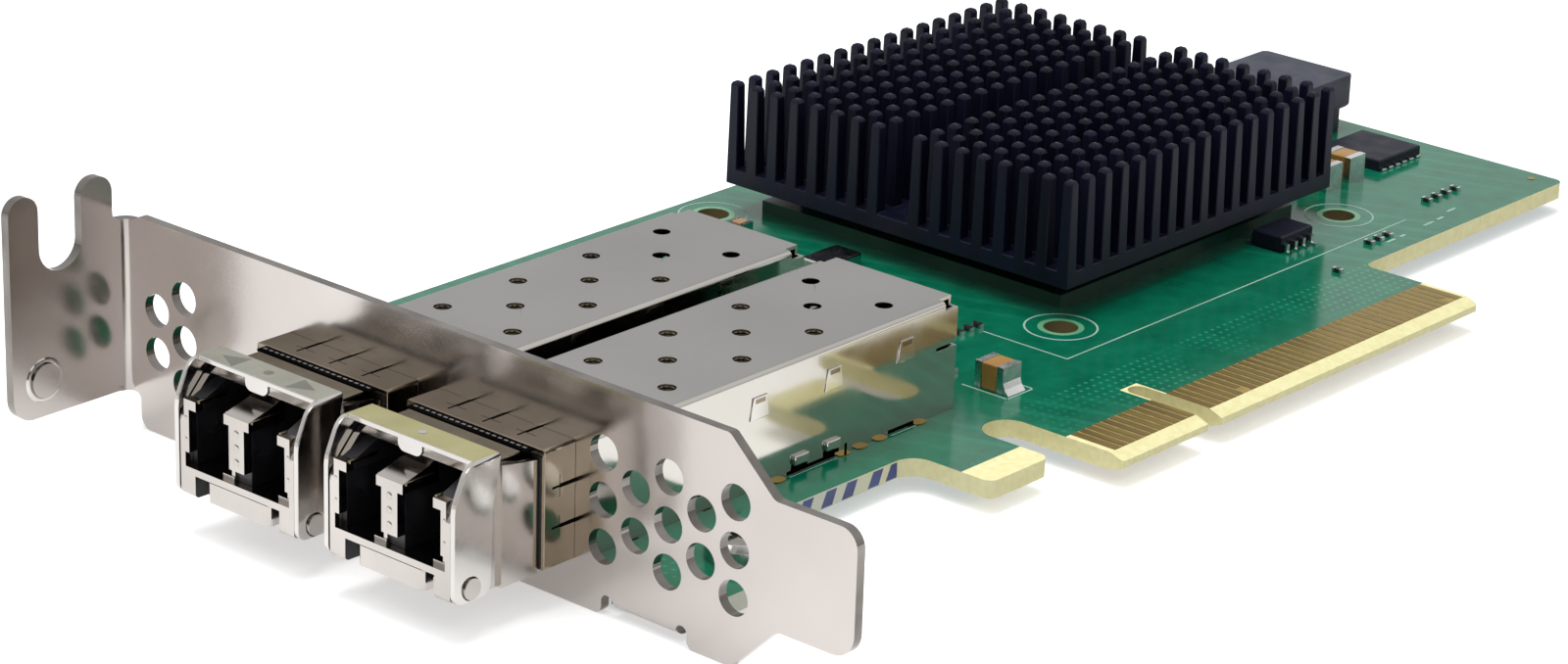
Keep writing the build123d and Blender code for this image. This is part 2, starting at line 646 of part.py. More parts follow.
def receptacle_insert(centre):
    """Moulded insert behind the port frame, with two square bores and their keyways."""
    room = HEAD_HALF - HEAD_WALL
    front = HEAD_FRONT + PILLAR_T
    body = block(front, CHAMBER_REAR + 1.0, centre - room, centre + room, SILL, HEAD_TOP - ROOF_T)
    body -= block(front - EXTRA, ROOF_FRONT + 0.5, centre - KEYWAY_IN, centre + KEYWAY_IN,
                  BORE_TOP, HEAD_TOP + EXTRA)
    slope = [(front - EXTRA, ARM_TOP), (front, ARM_TOP), (ROOF_FRONT, HEAD_TOP - ROOF_T),
             (ROOF_FRONT, HEAD_TOP + EXTRA), (front - EXTRA, HEAD_TOP + EXTRA)]
    body -= side_slab(slope, centre - room - EXTRA, centre + room + EXTRA)
    body -= block(ROOF_STEP, BODY_REAR, centre - room - EXTRA, centre + room + EXTRA,
                  ROOF_LOW, HEAD_TOP)
    for side in (-1, 1):
        y0, y1 = sorted((centre + side * BORE_IN, centre + side * BORE_OUT))
        body -= block(front - EXTRA, CHAMBER_REAR, y0, y1, SILL, BORE_TOP)
        y0, y1 = sorted((centre + side * KEYWAY_IN, centre + side * KEYWAY_OUT))
        body -= block(front - EXTRA, CHAMBER_REAR - 2.0, y0, y1, BORE_TOP - 0.1, HEAD_TOP)
    return body


def ferrule_sleeves(centre):
    """Hollow alignment sleeves standing in the two bores."""
    sleeves = []
    for side in (-1, 1):
        y = centre + side * (BORE_IN + BORE_OUT) / 2
        sleeve = rod(CHAMBER_REAR - FERRULE_LEN, y, FERRULE_Z, FERRULE_R, FERRULE_LEN, "X")
        sleeve -= rod(CHAMBER_REAR - FERRULE_LEN - EXTRA, y, FERRULE_Z, FERRULE_R * 0.63, 3.5, "X")
        sleeves.append(sleeve)
    return Compound(children=sleeves)


def module_cover(centre):
    """Sheet cover that closes the module behind its nose."""
    cover = block(HEAD_REAR, BODY_REAR, centre - BODY_HALF, centre + BODY_HALF, BODY_SPLIT, BODY_TOP)
    cover = fillet(cover.edges().filter_by(Axis.X).group_by(Axis.Z)[-1], 0.4)
    inner = BODY_HALF - COVER_T
    cover -= block(BARREL_FRONT, BODY_REAR - COVER_T, centre - inner, centre + inner,
                   BODY_SPLIT - EXTRA, BODY_TOP - COVER_T)
    cover -= block(HEAD_REAR - EXTRA, BARREL_FRONT + 0.1, centre - inner, centre + inner,
                   BODY_SPLIT - EXTRA, BODY_TOP - COVER_T)
    return cover


def optical_barrels(centre):
    """Transmit and receive barrels between the insert and the module's board."""
    barrels = []
    for side in (-1, 1):
        y = centre + side * (BORE_IN + BORE_OUT) / 2
        thin = rod(BARREL_FRONT, y, FERRULE_Z, 0.8 * BARREL_R, BARREL_NECK + 0.2, "X")
        wide = rod(BARREL_FRONT + BARREL_NECK, y, FERRULE_Z, BARREL_R, BARREL_LEN, "X")
        barrels.append(thin + wide)
    return Compound(children=barrels)


def module_board(centre):
    """The module's own board, whose end plugs into the host connector."""
    inner = BODY_HALF - BODY_WALL
    low, high = MODULE_BOARD_LOW, MODULE_BOARD_LOW + MODULE_BOARD_T
    wide = block(MODULE_BOARD_FRONT, BODY_REAR, centre - inner, centre + inner, low, high)
    tip = block(BODY_REAR - EXTRA, MODULE_BOARD_REAR, centre - MODULE_BOARD_HALF,
                centre + MODULE_BOARD_HALF, low, high)
    return wide + tip


def bail(centre):
    """Sheet release bail: two curved side legs, a top plate and its finger tongue."""
    outer = BAIL_IN + BAIL_T
    side_view = [
        (BAIL_FRONT, BAIL_LOW, 0.9), (BAIL_FRONT, BAIL_SHOULDER, 3.0), (BAIL_CROWN, BAIL_TOP, 1.8),
        (BAIL_PLATE_REAR, BAIL_TOP), (BAIL_WAIST_REAR, BAIL_WAIST, 4.0),
        (BAIL_FOOT_REAR, BAIL_LOW, 1.0),
    ]
    solid = side_slab(side_view, centre - outer, centre + outer)
    front_view = [(-outer, BAIL_LOW), (outer, BAIL_LOW),
                  (outer, BAIL_TOP, BAIL_ROUND), (-outer, BAIL_TOP, BAIL_ROUND)]
    solid &= Pos(0, centre, 0) * front_slab(front_view, BAIL_FRONT - EXTRA,
                                            BAIL_PLATE_REAR + EXTRA)
    solid -= block(BAIL_FRONT - EXTRA, BAIL_PLATE_REAR + EXTRA, centre - BAIL_IN, centre + BAIL_IN,
                   -EXTRA, BAIL_TOP - BAIL_T)
    trim = [(BAIL_FRONT - EXTRA, BAIL_TOP - BAIL_T), (BAIL_FRONT - EXTRA, BAIL_TOP + EXTRA),
            (BAIL_PLATE_FRONT, BAIL_TOP + EXTRA), (BAIL_PLATE_FRONT, BAIL_TOP - BAIL_T)]
    solid -= side_slab(trim, centre - BAIL_IN, centre + BAIL_IN)
    tongue = [(-TONGUE_HALF, TONGUE_LOW, 0.7), (TONGUE_HALF, TONGUE_LOW, 0.7),
              (TONGUE_HALF, BAIL_TOP - 0.1), (-TONGUE_HALF, BAIL_TOP - 0.1)]
    solid += Pos(0, centre, 0) * front_slab(tongue, BAIL_PLATE_FRONT, BAIL_PLATE_FRONT + TONGUE_T)
    solid -= rod(PIVOT_X, centre - outer - EXTRA, PIVOT_Z, PIVOT_R + PIVOT_CLEAR,
                 2 * outer + 2 * EXTRA, "Y")
    return solid


def latch_rocker(centre):
    """Lever under the module: finger bar in front, wedge catch behind."""
    low, high = ROCKER_LOW, ROCKER_LOW + ROCKER_T
    lever = block(HEAD_FRONT + 0.4, ROCKER_REAR, centre - ROCKER_HALF, centre + ROCKER_HALF, low, high)
    bar = block(HEAD_FRONT + 0.1, HEAD_FRONT + 1.1, centre - ROCKER_FACE_HALF,
                centre + ROCKER_FACE_HALF, HEAD_LOW + 0.25, high)
    lever += fillet(bar.edges().filter_by(Axis.Z).group_by(Axis.X)[0], 0.45)
    catch = [(CATCH_X - CATCH_L / 2, low + 0.1), (CATCH_X - CATCH_L / 2, low - 0.65),
             (CATCH_X + CATCH_L / 2, low - 0.1), (CATCH_X + CATCH_L / 2, low + 0.1)]
    lever += side_slab(catch, centre - CATCH_W / 2, centre + CATCH_W / 2)
    lever -= rod(ROCKER_PIN_X, centre - ROCKER_FACE_HALF - EXTRA, low + ROCKER_T / 2,
                 ROCKER_PIN_R + 0.05, 2 * ROCKER_FACE_HALF + 2 * EXTRA, "Y")
    return lever


def rocker_pin(centre):
    half = ROCKER_FACE_HALF + ROCKER_SIDE_GAP + 0.8
    return rod(ROCKER_PIN_X, centre - half, ROCKER_LOW + ROCKER_T / 2, ROCKER_PIN_R, 2 * half, "Y")


def chip_stack():
    """Controller package and thermal pad: laminate, moulded lid, pad."""
    lid_top = SUBSTRATE_T + LID_T
    layers = ((CHIP_HALF, 0, SUBSTRATE_T), (LID_HALF, SUBSTRATE_T, lid_top),
              (LID_HALF - PAD_MARGIN, lid_top, lid_top + PAD_GAP))
    return [block(CHIP_X - half, CHIP_X + half, CHIP_Y - half, CHIP_Y + half, low, high)
            for half, low, high in layers]


def heat_sink():
    """Cross-cut pin sink. The middle channel along X is one pin wider."""
    low = SUBSTRATE_T + LID_T + PAD_GAP
    deck = low + SINK_BASE_T
    sink = block(CHIP_X - SINK_HALF, CHIP_X + SINK_HALF, CHIP_Y - SINK_HALF, CHIP_Y + SINK_HALF,
                 low, SINK_TOP)
    pitch = (2 * SINK_HALF - SINK_PIN_W) / (SINK_PINS - 1)
    gap = pitch - SINK_PIN_W
    first = -SINK_HALF + SINK_PIN_W
    cuts = []
    for i in range(SINK_PINS - 1):
        start = first + i * pitch
        cuts.append(block(CHIP_X + start, CHIP_X + start + gap, CHIP_Y - SINK_HALF - EXTRA,
                          CHIP_Y + SINK_HALF + EXTRA, deck, SINK_TOP + EXTRA))
        cuts.append(block(CHIP_X - SINK_HALF - EXTRA, CHIP_X + SINK_HALF + EXTRA,
                          CHIP_Y + start, CHIP_Y + start + gap, deck, SINK_TOP + EXTRA))
    cuts.append(block(CHIP_X - SINK_HALF - EXTRA, CHIP_X + SINK_HALF + EXTRA, CHIP_Y - SINK_PIN_W,
                      CHIP_Y + SINK_PIN_W, deck, SINK_TOP + EXTRA))
    return sink - cuts


def power_inductor():
    """Moulded inductor with a wider cap above a recessed foot."""
    inner = INDUCTOR_HALF - INDUCTOR_INSET
    foot = block(INDUCTOR_X - inner, INDUCTOR_X + inner, INDUCTOR_Y - inner, INDUCTOR_Y + inner,
                 0, INDUCTOR_NECK)
    cap = block(INDUCTOR_X - INDUCTOR_HALF, INDUCTOR_X + INDUCTOR_HALF, INDUCTOR_Y - INDUCTOR_HALF,
                INDUCTOR_Y + INDUCTOR_HALF, INDUCTOR_NECK, INDUCTOR_TOP)
    cap = chamfer(cap.edges().group_by(Axis.Z)[0], 0.5)
    cap = fillet(cap.edges().filter_by(Axis.Z), 0.7)
    return foot + cap


# chip capacitors: x, y, length, width, height, long axis
CAPACITORS = [
    (51.9, 16.75, 3.0, 2.45, 2.4, "Y"), (118.8, 28.0, 3.2, 2.5, 2.5, "Y"),
    (115.0, 28.0, 3.2, 2.5, 2.5, "Y"), (114.0, 50.5, 3.2, 2.5, 2.5, "X"),
    (114.0, 54.5, 3.2, 2.5, 2.5, "X"), (54.0, 38.4, 2.0, 1.25, 1.1, "X"),
    (65.2, 57.6, 2.0, 1.25, 1.1, "Y"), (62.6, 57.6, 2.0, 1.25, 1.1, "Y"),
    (60.0, 57.6, 2.0, 1.25, 1.1, "Y"), (58.3, 33.0, 2.0, 1.25, 1.1, "Y"),
]
# small resistors and capacitors in rows: x, y of the first, length of the row, step, row axis
ROWS = [
    (59.2, 26.9, 2.6, 1.3, "X"), (49.0, 21.6, 2.8, 1.4, "X"), (49.0, 24.4, 1.4, 1.4, "X"),
    (104.6, 15.2, 3.0, 1.5, "X"), (96.2, 12.9, 0, 1.5, "X"), (118.6, 18.2, 4.8, 1.6, "X"),
    (112.6, 35.0, 4.5, 1.5, "Y"), (58.0, 50.6, 4.8, 1.6, "X"), (120.6, 52.6, 6.4, 1.6, "X"),
    (112.4, 60.2, 6.4, 1.6, "X"),
]
# columns of small capacitors under the chip on the solder side
UNDER_COLUMNS = 8
UNDER_STEP_X = 2.4
UNDER_STEP_Y = 2.8
UNDER_RUN = 5 * UNDER_STEP_Y
UNDER_LEFT = CHIP_X - 9.0
UNDER_LOW = CHIP_Y - 7.0
SMALL_L = 1.0
SMALL_W = 0.5
SMALL_H = 0.4
TERMINAL = 0.22


def row_places(rows):
    places = []
    for x, y, run, step, axis in rows:
        for i in range(round(run / step) + 1):
            places.append((x + i * step, y) if axis == "X" else (x, y + i * step))
    return places


def chip_pieces(x, y, length, width, height, axis, base, up):
    """One chip part: its body and its two metal ends."""
    half, side = (length / 2, width / 2)
    end = TERMINAL * length
    z0, z1 = sorted((base, base + up * height))
    if axis == "X":
        body = block(x - half + end, x + half - end, y - side, y + side, z0, z1)
        ends = [block(x - half, x - half + end, y - side, y + side, z0, z1),
                block(x + half - end, x + half, y - side, y + side, z0, z1)]
    else:
        body = block(x - side, x + side, y - half + end, y + half - end, z0, z1)
        ends = [block(x - side, x + side, y - half, y - half + end, z0, z1),
                block(x - side, x + side, y + half - end, y + half, z0, z1)]
    return body, ends


def chip_parts():
    """Groups of capacitor bodies, small chip bodies and all their metal ends."""
    tan, dark, under, metal, under_metal = [], [], [], [], []
    for x, y, length, width, height, axis in CAPACITORS:
        body, ends = chip_pieces(x, y, length, width, height, axis, 0, 1)
        tan.append(body)
        metal += ends
    for x, y in row_places(ROWS):
        body, ends = chip_pieces(x, y, SMALL_L, SMALL_W, SMALL_H, "Y", 0, 1)
        dark.append(body)
        metal += ends
    columns = [(UNDER_LEFT + i * UNDER_STEP_X, UNDER_LOW, UNDER_RUN, UNDER_STEP_Y, "Y")
               for i in range(UNDER_COLUMNS)]
    for x, y in row_places(columns):
        body, ends = chip_pieces(x, y, SMALL_L, SMALL_W, SMALL_H, "X", -BOARD_T, -1)
        under.append(body)
        under_metal += ends
    return [Compound(children=group) for group in (tan, dark, metal, under, under_metal)]


def gull_package(x, y, half_w):
    """A small-outline package: its moulded body and its bent leads."""
    body = block(x - PACKAGE_HALF_L, x + PACKAGE_HALF_L, y - half_w, y + half_w,
                 PACKAGE_FLOOR, PACKAGE_TOP)
    body = chamfer(body.edges().group_by(Axis.Z)[-1], PACKAGE_FLOOR)
    mid = PACKAGE_TOP * LEAD_ROOT
    feet = []
    for i in range(LEADS_A_SIDE):
        lead_x = x + (i - (LEADS_A_SIDE - 1) / 2) * LEAD_PITCH
        low_x, high_x = lead_x - LEAD_W / 2, lead_x + LEAD_W / 2
        for side in (-1, 1):
            root = y + side * half_w
            tip = root + side * LEAD_REACH
            heel = root + side * LEAD_HEEL
            bend = heel - side * LEAD_T
            foot = block(low_x, high_x, min(root, heel), max(root, heel), mid - LEAD_T, mid)
            foot += block(low_x, high_x, min(bend, heel), max(bend, heel), 0, mid)
            foot += block(low_x, high_x, min(bend, tip), max(bend, tip), 0, LEAD_T)
            feet.append(foot)
    return body, feet


def build():
    """Every piece of the card by node name."""
    pieces = {
        "circuit_board": circuit_board(),
        "edge_contacts_component_side": edge_contacts(True),
        "edge_contacts_solder_side": edge_contacts(False),
        "mounting_bracket": mounting_bracket(),
        "bracket_screws": bracket_screws(),
    }
    makers = {
        "cage_shell": cage_shell, "cage_base": cage_base, "emi_collar": emi_collar,
        "mouth_seal": mouth_seal,
        "host_connector": host_connector, "module_housing": module_housing,
        "receptacle_insert": receptacle_insert, "ferrule_sleeves": ferrule_sleeves,
        "module_cover": module_cover, "optical_barrels": optical_barrels,
        "module_board": module_board, "bail": bail, "latch_rocker": latch_rocker,
        "rocker_pin": rocker_pin,
    }
    for side, centre in PORT_Y.items():
        for name, maker in makers.items():
            pieces[side + "_" + name] = maker(centre)
    substrate, lid, pad = chip_stack()
    pieces.update({"chip_substrate": substrate, "chip_lid": lid, "thermal_pad": pad,
                   "heat_sink": heat_sink(), "power_inductor": power_inductor()})
    tan, dark, metal, under, under_metal = chip_parts()
    pieces.update({"ceramic_capacitors": tan, "chip_resistors": dark, "chip_terminals": metal,
                   "decoupling_capacitors": under, "decoupling_terminals": under_metal})
    memory_y = CHIP_Y - SINK_HALF - MEMORY_CLEAR
    memory, memory_feet = gull_package(MEMORY_X, memory_y, MEMORY_HALF_W)
    driver, driver_feet = gull_package(DRIVER_X, DRIVER_Y, DRIVER_HALF_W)
    pieces["flash_memory"] = memory
    pieces["regulator_driver"] = driver
    pieces["package_leads"] = Compound(children=memory_feet + driver_feet)
    stage = centred_block(STAGE_X, STAGE_Y, STAGE_L, STAGE_W, STAGE_H)
    pieces["power_stage"] = chamfer(stage.edges().group_by(Axis.Z)[-1], 0.12)
    crystal = centred_block(CRYSTAL_X, CRYSTAL_Y, CRYSTAL_L, CRYSTAL_W, CRYSTAL_H)
    pieces["crystal"] = fillet(crystal.edges().filter_by(Axis.Z), 0.4)
    return pieces


os.makedirs("parts", exist_ok=True)
for node, shape in build().items():
    export_step(shape, "parts/" + node + ".step")
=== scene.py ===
import bpy
import bmesh
import math
from mathutils import Matrix, Vector


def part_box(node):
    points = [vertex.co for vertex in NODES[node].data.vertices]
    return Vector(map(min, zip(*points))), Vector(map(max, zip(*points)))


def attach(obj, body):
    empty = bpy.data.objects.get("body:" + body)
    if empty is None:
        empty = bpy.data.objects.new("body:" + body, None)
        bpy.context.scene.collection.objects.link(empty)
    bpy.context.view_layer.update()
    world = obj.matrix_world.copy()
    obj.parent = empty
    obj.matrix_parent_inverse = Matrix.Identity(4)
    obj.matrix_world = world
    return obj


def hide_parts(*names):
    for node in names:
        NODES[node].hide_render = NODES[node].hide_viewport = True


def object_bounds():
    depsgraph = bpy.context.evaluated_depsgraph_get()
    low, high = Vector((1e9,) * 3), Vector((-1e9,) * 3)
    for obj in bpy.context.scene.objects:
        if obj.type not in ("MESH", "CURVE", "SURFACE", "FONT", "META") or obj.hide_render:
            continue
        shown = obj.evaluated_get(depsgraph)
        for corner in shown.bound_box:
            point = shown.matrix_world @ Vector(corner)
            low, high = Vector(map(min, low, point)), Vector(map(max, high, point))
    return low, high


# A low-profile fibre network card. Lengths are written in millimetres and turned into metres
# when a piece is finished. X runs to the rear of the card, Y to the screw tab, Z up.

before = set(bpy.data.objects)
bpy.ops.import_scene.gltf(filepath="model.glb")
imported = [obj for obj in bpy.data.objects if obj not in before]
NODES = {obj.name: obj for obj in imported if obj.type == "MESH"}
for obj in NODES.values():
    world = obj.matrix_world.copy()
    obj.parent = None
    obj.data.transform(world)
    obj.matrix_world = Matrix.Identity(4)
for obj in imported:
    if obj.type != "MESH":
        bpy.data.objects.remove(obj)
cad_low, cad_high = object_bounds()
MM = 0.001
# a face narrower than this belongs to an eased edge and is shaded smooth
EASED_WIDTH = 0.16
# edges sharper than the first angle are eased, and flatter than the second are shaded smooth
EASE_ANGLE = math.radians(40.0)
SMOOTH_ANGLE = math.radians(30.0)
# how far edges are eased, by what they are made of
EASE_THIN = 0.05
EASE_SHEET = 0.06
EASE_COLLAR = 0.07
EASE_CAST = 0.1
EASE_BRACKET = 0.12
EASE_LATCH = 0.12
EASE_CERAMIC = 0.12
EASE_MOULDED = 0.15
RING_SIDES = 40
# the middle of each port along Y
PORTS = {"right": 23.35, "left": 40.1}

# Board: spans along X and Y of the contacts, then (x from, x to, y below) where the mask stops.
CONTACTS_X = (47.9, 99.0)
CONTACTS_Y = (1.2, 5.9)
BARE_ZONES = [(45.0, 101.0, 5.9), (35.0, 43.3, 7.2), (58.75, 61.05, 9.1)]
# the sawn edge turns from grey near the bracket to pale laminate over this span of X
EDGE_FADE_X = (27.0, 37.0)
VIA_ROWS_Y = (6.4, 12.6)
VIA_PITCH = 0.9
VIA_SHARE = 0.2
EDGE_Y = 12.3
EDGE_STRIPES_X = (22.4, 25.2, 27.7, 30.9, 33.1)
STRIPE_OUTLINE = [(-0.95, -1.45), (0.4, -1.45), (0.95, -0.15), (-0.3, -0.15)]
CORNER_PAD = (131.75, 15.0)
CORNER_PAD_R = 0.4
PAD_SIDES = 16
PRINT_T = 0.02
# printed lines: x and y of the low corner, length along X, width along Y
PRINT_LINES = [
    (61.2, 16.7, 0.16, 9.1), (61.2, 16.55, 51.5, 0.16),
    (50.2, 14.3, 0.16, 4.95), (50.2, 14.3, 3.6, 0.16), (53.65, 14.3, 0.16, 1.6),
    (106.2, 14.2, 1.3, 0.3), (108.4, 14.2, 0.8, 0.3), (112.6, 14.4, 1.6, 0.3),
    (115.0, 14.5, 1.0, 0.3), (117.6, 15.1, 1.4, 0.3),
    (24.7, 16.0, 5.8, 0.1), (37.2, 16.0, 3.2, 0.1),
]

# Heat sink, and the four holes at its corners with the spans that hold their bore walls, which get
# painted shade.
SINK_PINS = 17
SINK_PIN_W = 1.25
SINK_TAPER = 0.78
SINK_DOME = 0.36
SINK_HOLES = [(67.0, 21.8), (109.2, 21.8), (67.0, 62.6), (109.2, 62.6)]
SINK_HOLE_R = 1.5
BORES_X = [(64, 70), (106, 112)]
BORES_Y = [(19, 25), (60, 66)]
# printed ring: middle radius and half width; pale rim: how far it starts and ends past the hole
HOLE_RING = (3.2, 0.09)
HOLE_RIM = (0.05, 0.55)

# Bracket: where the ears start, where the face ends and the tab begins, how far its slot reaches.
EAR_X = 1.2
TAB_Y = 65.0
TAB_X = -2.0
STUD = (-8.9, 66.7, 3.25)
STUD_SECTION = [(1.42, -0.05), (1.95, -0.05), (1.8, 0.1), (1.6, 0.15), (1.42, 0.1)]

# Cages: pressed tabs, latches and openings in their side walls, with painted shade in the
# openings, solder pads at their feet.
CAGE_HALF = 7.0
CAGE_TOP = 9.8
SIDE_TABS_X = (21.15, 30.1, 39.05)
TAB_OUTLINE = [(-1.15, 6.0), (1.15, 6.0), (0.82, 7.9), (-0.82, 7.9)]
TAB_SLOT_X = (-0.55, 0.6)
TAB_SLOT_Z = (7.35, 7.72)
# x from, x to, z from, z to
WALL_LATCHES = [(25.3, 27.1, 0.75, 1.6), (29.2, 30.95, 0.85, 1.7)]
WALL_GAPS = [(24.7, 30.5, 0.06, 0.36), (37.2, 40.4, 0.06, 0.36), (31.75, 32.0, 0.1, 0.8)]
LATCH_GAP_Z = 0.36
FOOT_PADS_X = (13.0, 23.6, 31.5, 33.7, 36.15, 41.1)
FOOT_PAD_OUT = 0.12
FOOT_PAD_R = 0.42
FOOT_PAD_T = 0.08
FOOT_PAD_STRETCH = 1.7

# Collars: the slits and the finer cuts that carry on from them, both filled with painted shade,
# and the fold in front.
COLLAR_WALL = 0.35
COLLAR_LOW = 0.6
COLLAR_TOP = 10.4
SLIT_X = (-1.62, -0.05)
SLIT_HALF = 0.13
CUT_X = (-2.5, -1.6)
CUT_HALF = 0.09
FOLD_X = (-1.73, -1.65)
# how far a drawn line lies under and over the face that carries it
SKIN = (-0.02, 0.006)

# Modules: nose, ports, and what sits on them. Offsets along Y are from the port's middle.
NOSE_FRONT = -12.2
NOTCH_X = (-12.1, -9.8)
NOTCH_TOP = 2.4
NOTCH_HALF = 4.9
PORT_IN = 0.85
PORT_OUT = 5.4
PORT_LOW = 2.9
# steps in a port's low corner: x span, then y and z spans from that corner
PORT_STEPS = [((-11.7, -9.6), (-0.02, 1.3), (-0.02, 0.4)),
              ((-11.6, -9.6), (-0.02, 0.4), (0.3, 1.35))]
RAIL_OFFSETS = (-4.6, -1.4, 1.4, 4.6)
RAIL_X = (-11.9, -9.0)
RAIL_HALF = 0.14
RAIL_Z = (8.3, 8.6)
# bosses: levels along Z, radius, height
POST_BOSSES = ((4.9, 6.1, 7.25), 0.3, 0.1)
PILLAR_BOSSES = ((5.2, 7.0), 0.16, 0.06)
PILLAR_OFFSET = 5.75
# sheets over the nose: x span, half width, z span
ROOF_SHEET = ((-7.1, -4.4), 5.9, (10.1, 10.28))
SEAL_BAND = ((-4.3, -3.32), 6.3, (10.15, 10.36))
FINGER_X = (-3.95, -3.75)
FINGER_Z = (10.33, 10.4)
FINGER_HALF = 0.2
FINGER_PITCH = 0.64
FINGERS_EACH_WAY = 9

# Bails: the top plate and the plain shapes on its strip.
BAIL_TOP = 11.35
BAIL_PLATE_Z = 10.6
LABEL_X = -8.8
LABEL_DOT_R = 0.42
LABEL_INK = 0.012
LABEL_WEDGE = [(-9.9, 3.0), (-7.8, 3.0), (LABEL_X, 5.2)]
DIMPLE_R = 0.36
DIMPLE_T = 0.06

# Small parts.
AMBER_Y = 30
BULK_SOLDER = [(14.65, 0.02), (15.27, 0.02), (15.27, 1.1), (15.08, 0.5)]
BULK_SOLDER_X = (50.75, 53.05)
STAGE_LEADS = 6
STAGE_LEAD_SHARE = 0.3
STAGE_LEAD_Y = (-0.32, 0.05)
STAGE_LEAD_Z = (0, 0.26)

# Studio. The view was found by fitting the standard lengths to the photograph.
AZIMUTH = math.radians(-49.338)
ELEVATION = math.radians(20.873)
ROLL = 0.033
CAMERA_AT = (-223.3, -195.9, 136.75)
SENSOR = 36.0
LENS = 102.28
FLOOR_HALF = 1500.0
FLOOR_DROP = 0.02
FLOOR_TONE = (0.86, 0.86, 0.86, 1)
FLOOR_GLOW = 0.5
FILL = 0.8
# the side of the room that stays dim in mirrors: behind the camera
DIM_SIDE = (-0.72, -0.62, 0.31)
# name, place, target, size, power, colour, whether mirrors show it
LAMPS = [
    ("key", (40, 60, 430), (55, 35, 0), (300, 240), 1.35, (1, 1, 1), False),
    ("rim", (-200, 120, 380), (20, 30, 0), (260, 200), 0.25, (0.95, 0.98, 1.0), True),
    ("front", (-190, -230, 300), (20, 20, 0), (260, 160), 0.13, (1.0, 0.98, 0.95), True),
]


class Nodes:
    """A shader's node tree, with short ways to add its nodes and link them."""

    def __init__(self, tree):
        self.tree = tree

    def add(self, kind, **values):
        node = self.tree.nodes.new(kind)
        for key, value in values.items():
            if hasattr(node, key):
                setattr(node, key, value)
            else:
                node.inputs[key].default_value = value
        return node

    def link(self, source, target):
        self.tree.links.new(source, target)

    def maths(self, operation, a, b=None):
        node = self.add("ShaderNodeMath", operation=operation)
        for index, value in enumerate((a, b)):
            if value is None:
                continue
            if isinstance(value, (int, float)):
                node.inputs[index].default_value = value
            else:
                self.link(value, node.inputs[index])
        return node.outputs["Value"]

    def span(self, source, low, high, to_low, to_high):
        node = self.add("ShaderNodeMapRange")
        node.inputs["From Min"].default_value = low
        node.inputs["From Max"].default_value = high
        node.inputs["To Min"].default_value = to_low
        node.inputs["To Max"].default_value = to_high
        self.link(source, node.inputs["Value"])
        return node.outputs["Result"]

    def ramp(self, source, stops):
        node = self.add("ShaderNodeValToRGB")
        band = node.color_ramp
        while len(band.elements) < len(stops):
            band.elements.new(0.5)
        for element, (where, colour) in zip(band.elements, stops):
            element.position = where
            element.color = (*colour, 1)
        self.link(source, node.inputs["Fac"])
        return node.outputs["Color"]

    def blend(self, factor, a, b):
        """A shader between two others."""
        node = self.add("ShaderNodeMixShader")
        for socket, source in enumerate((factor, a, b)):
            self.link(source, node.inputs[socket])
        return node.outputs["Shader"]


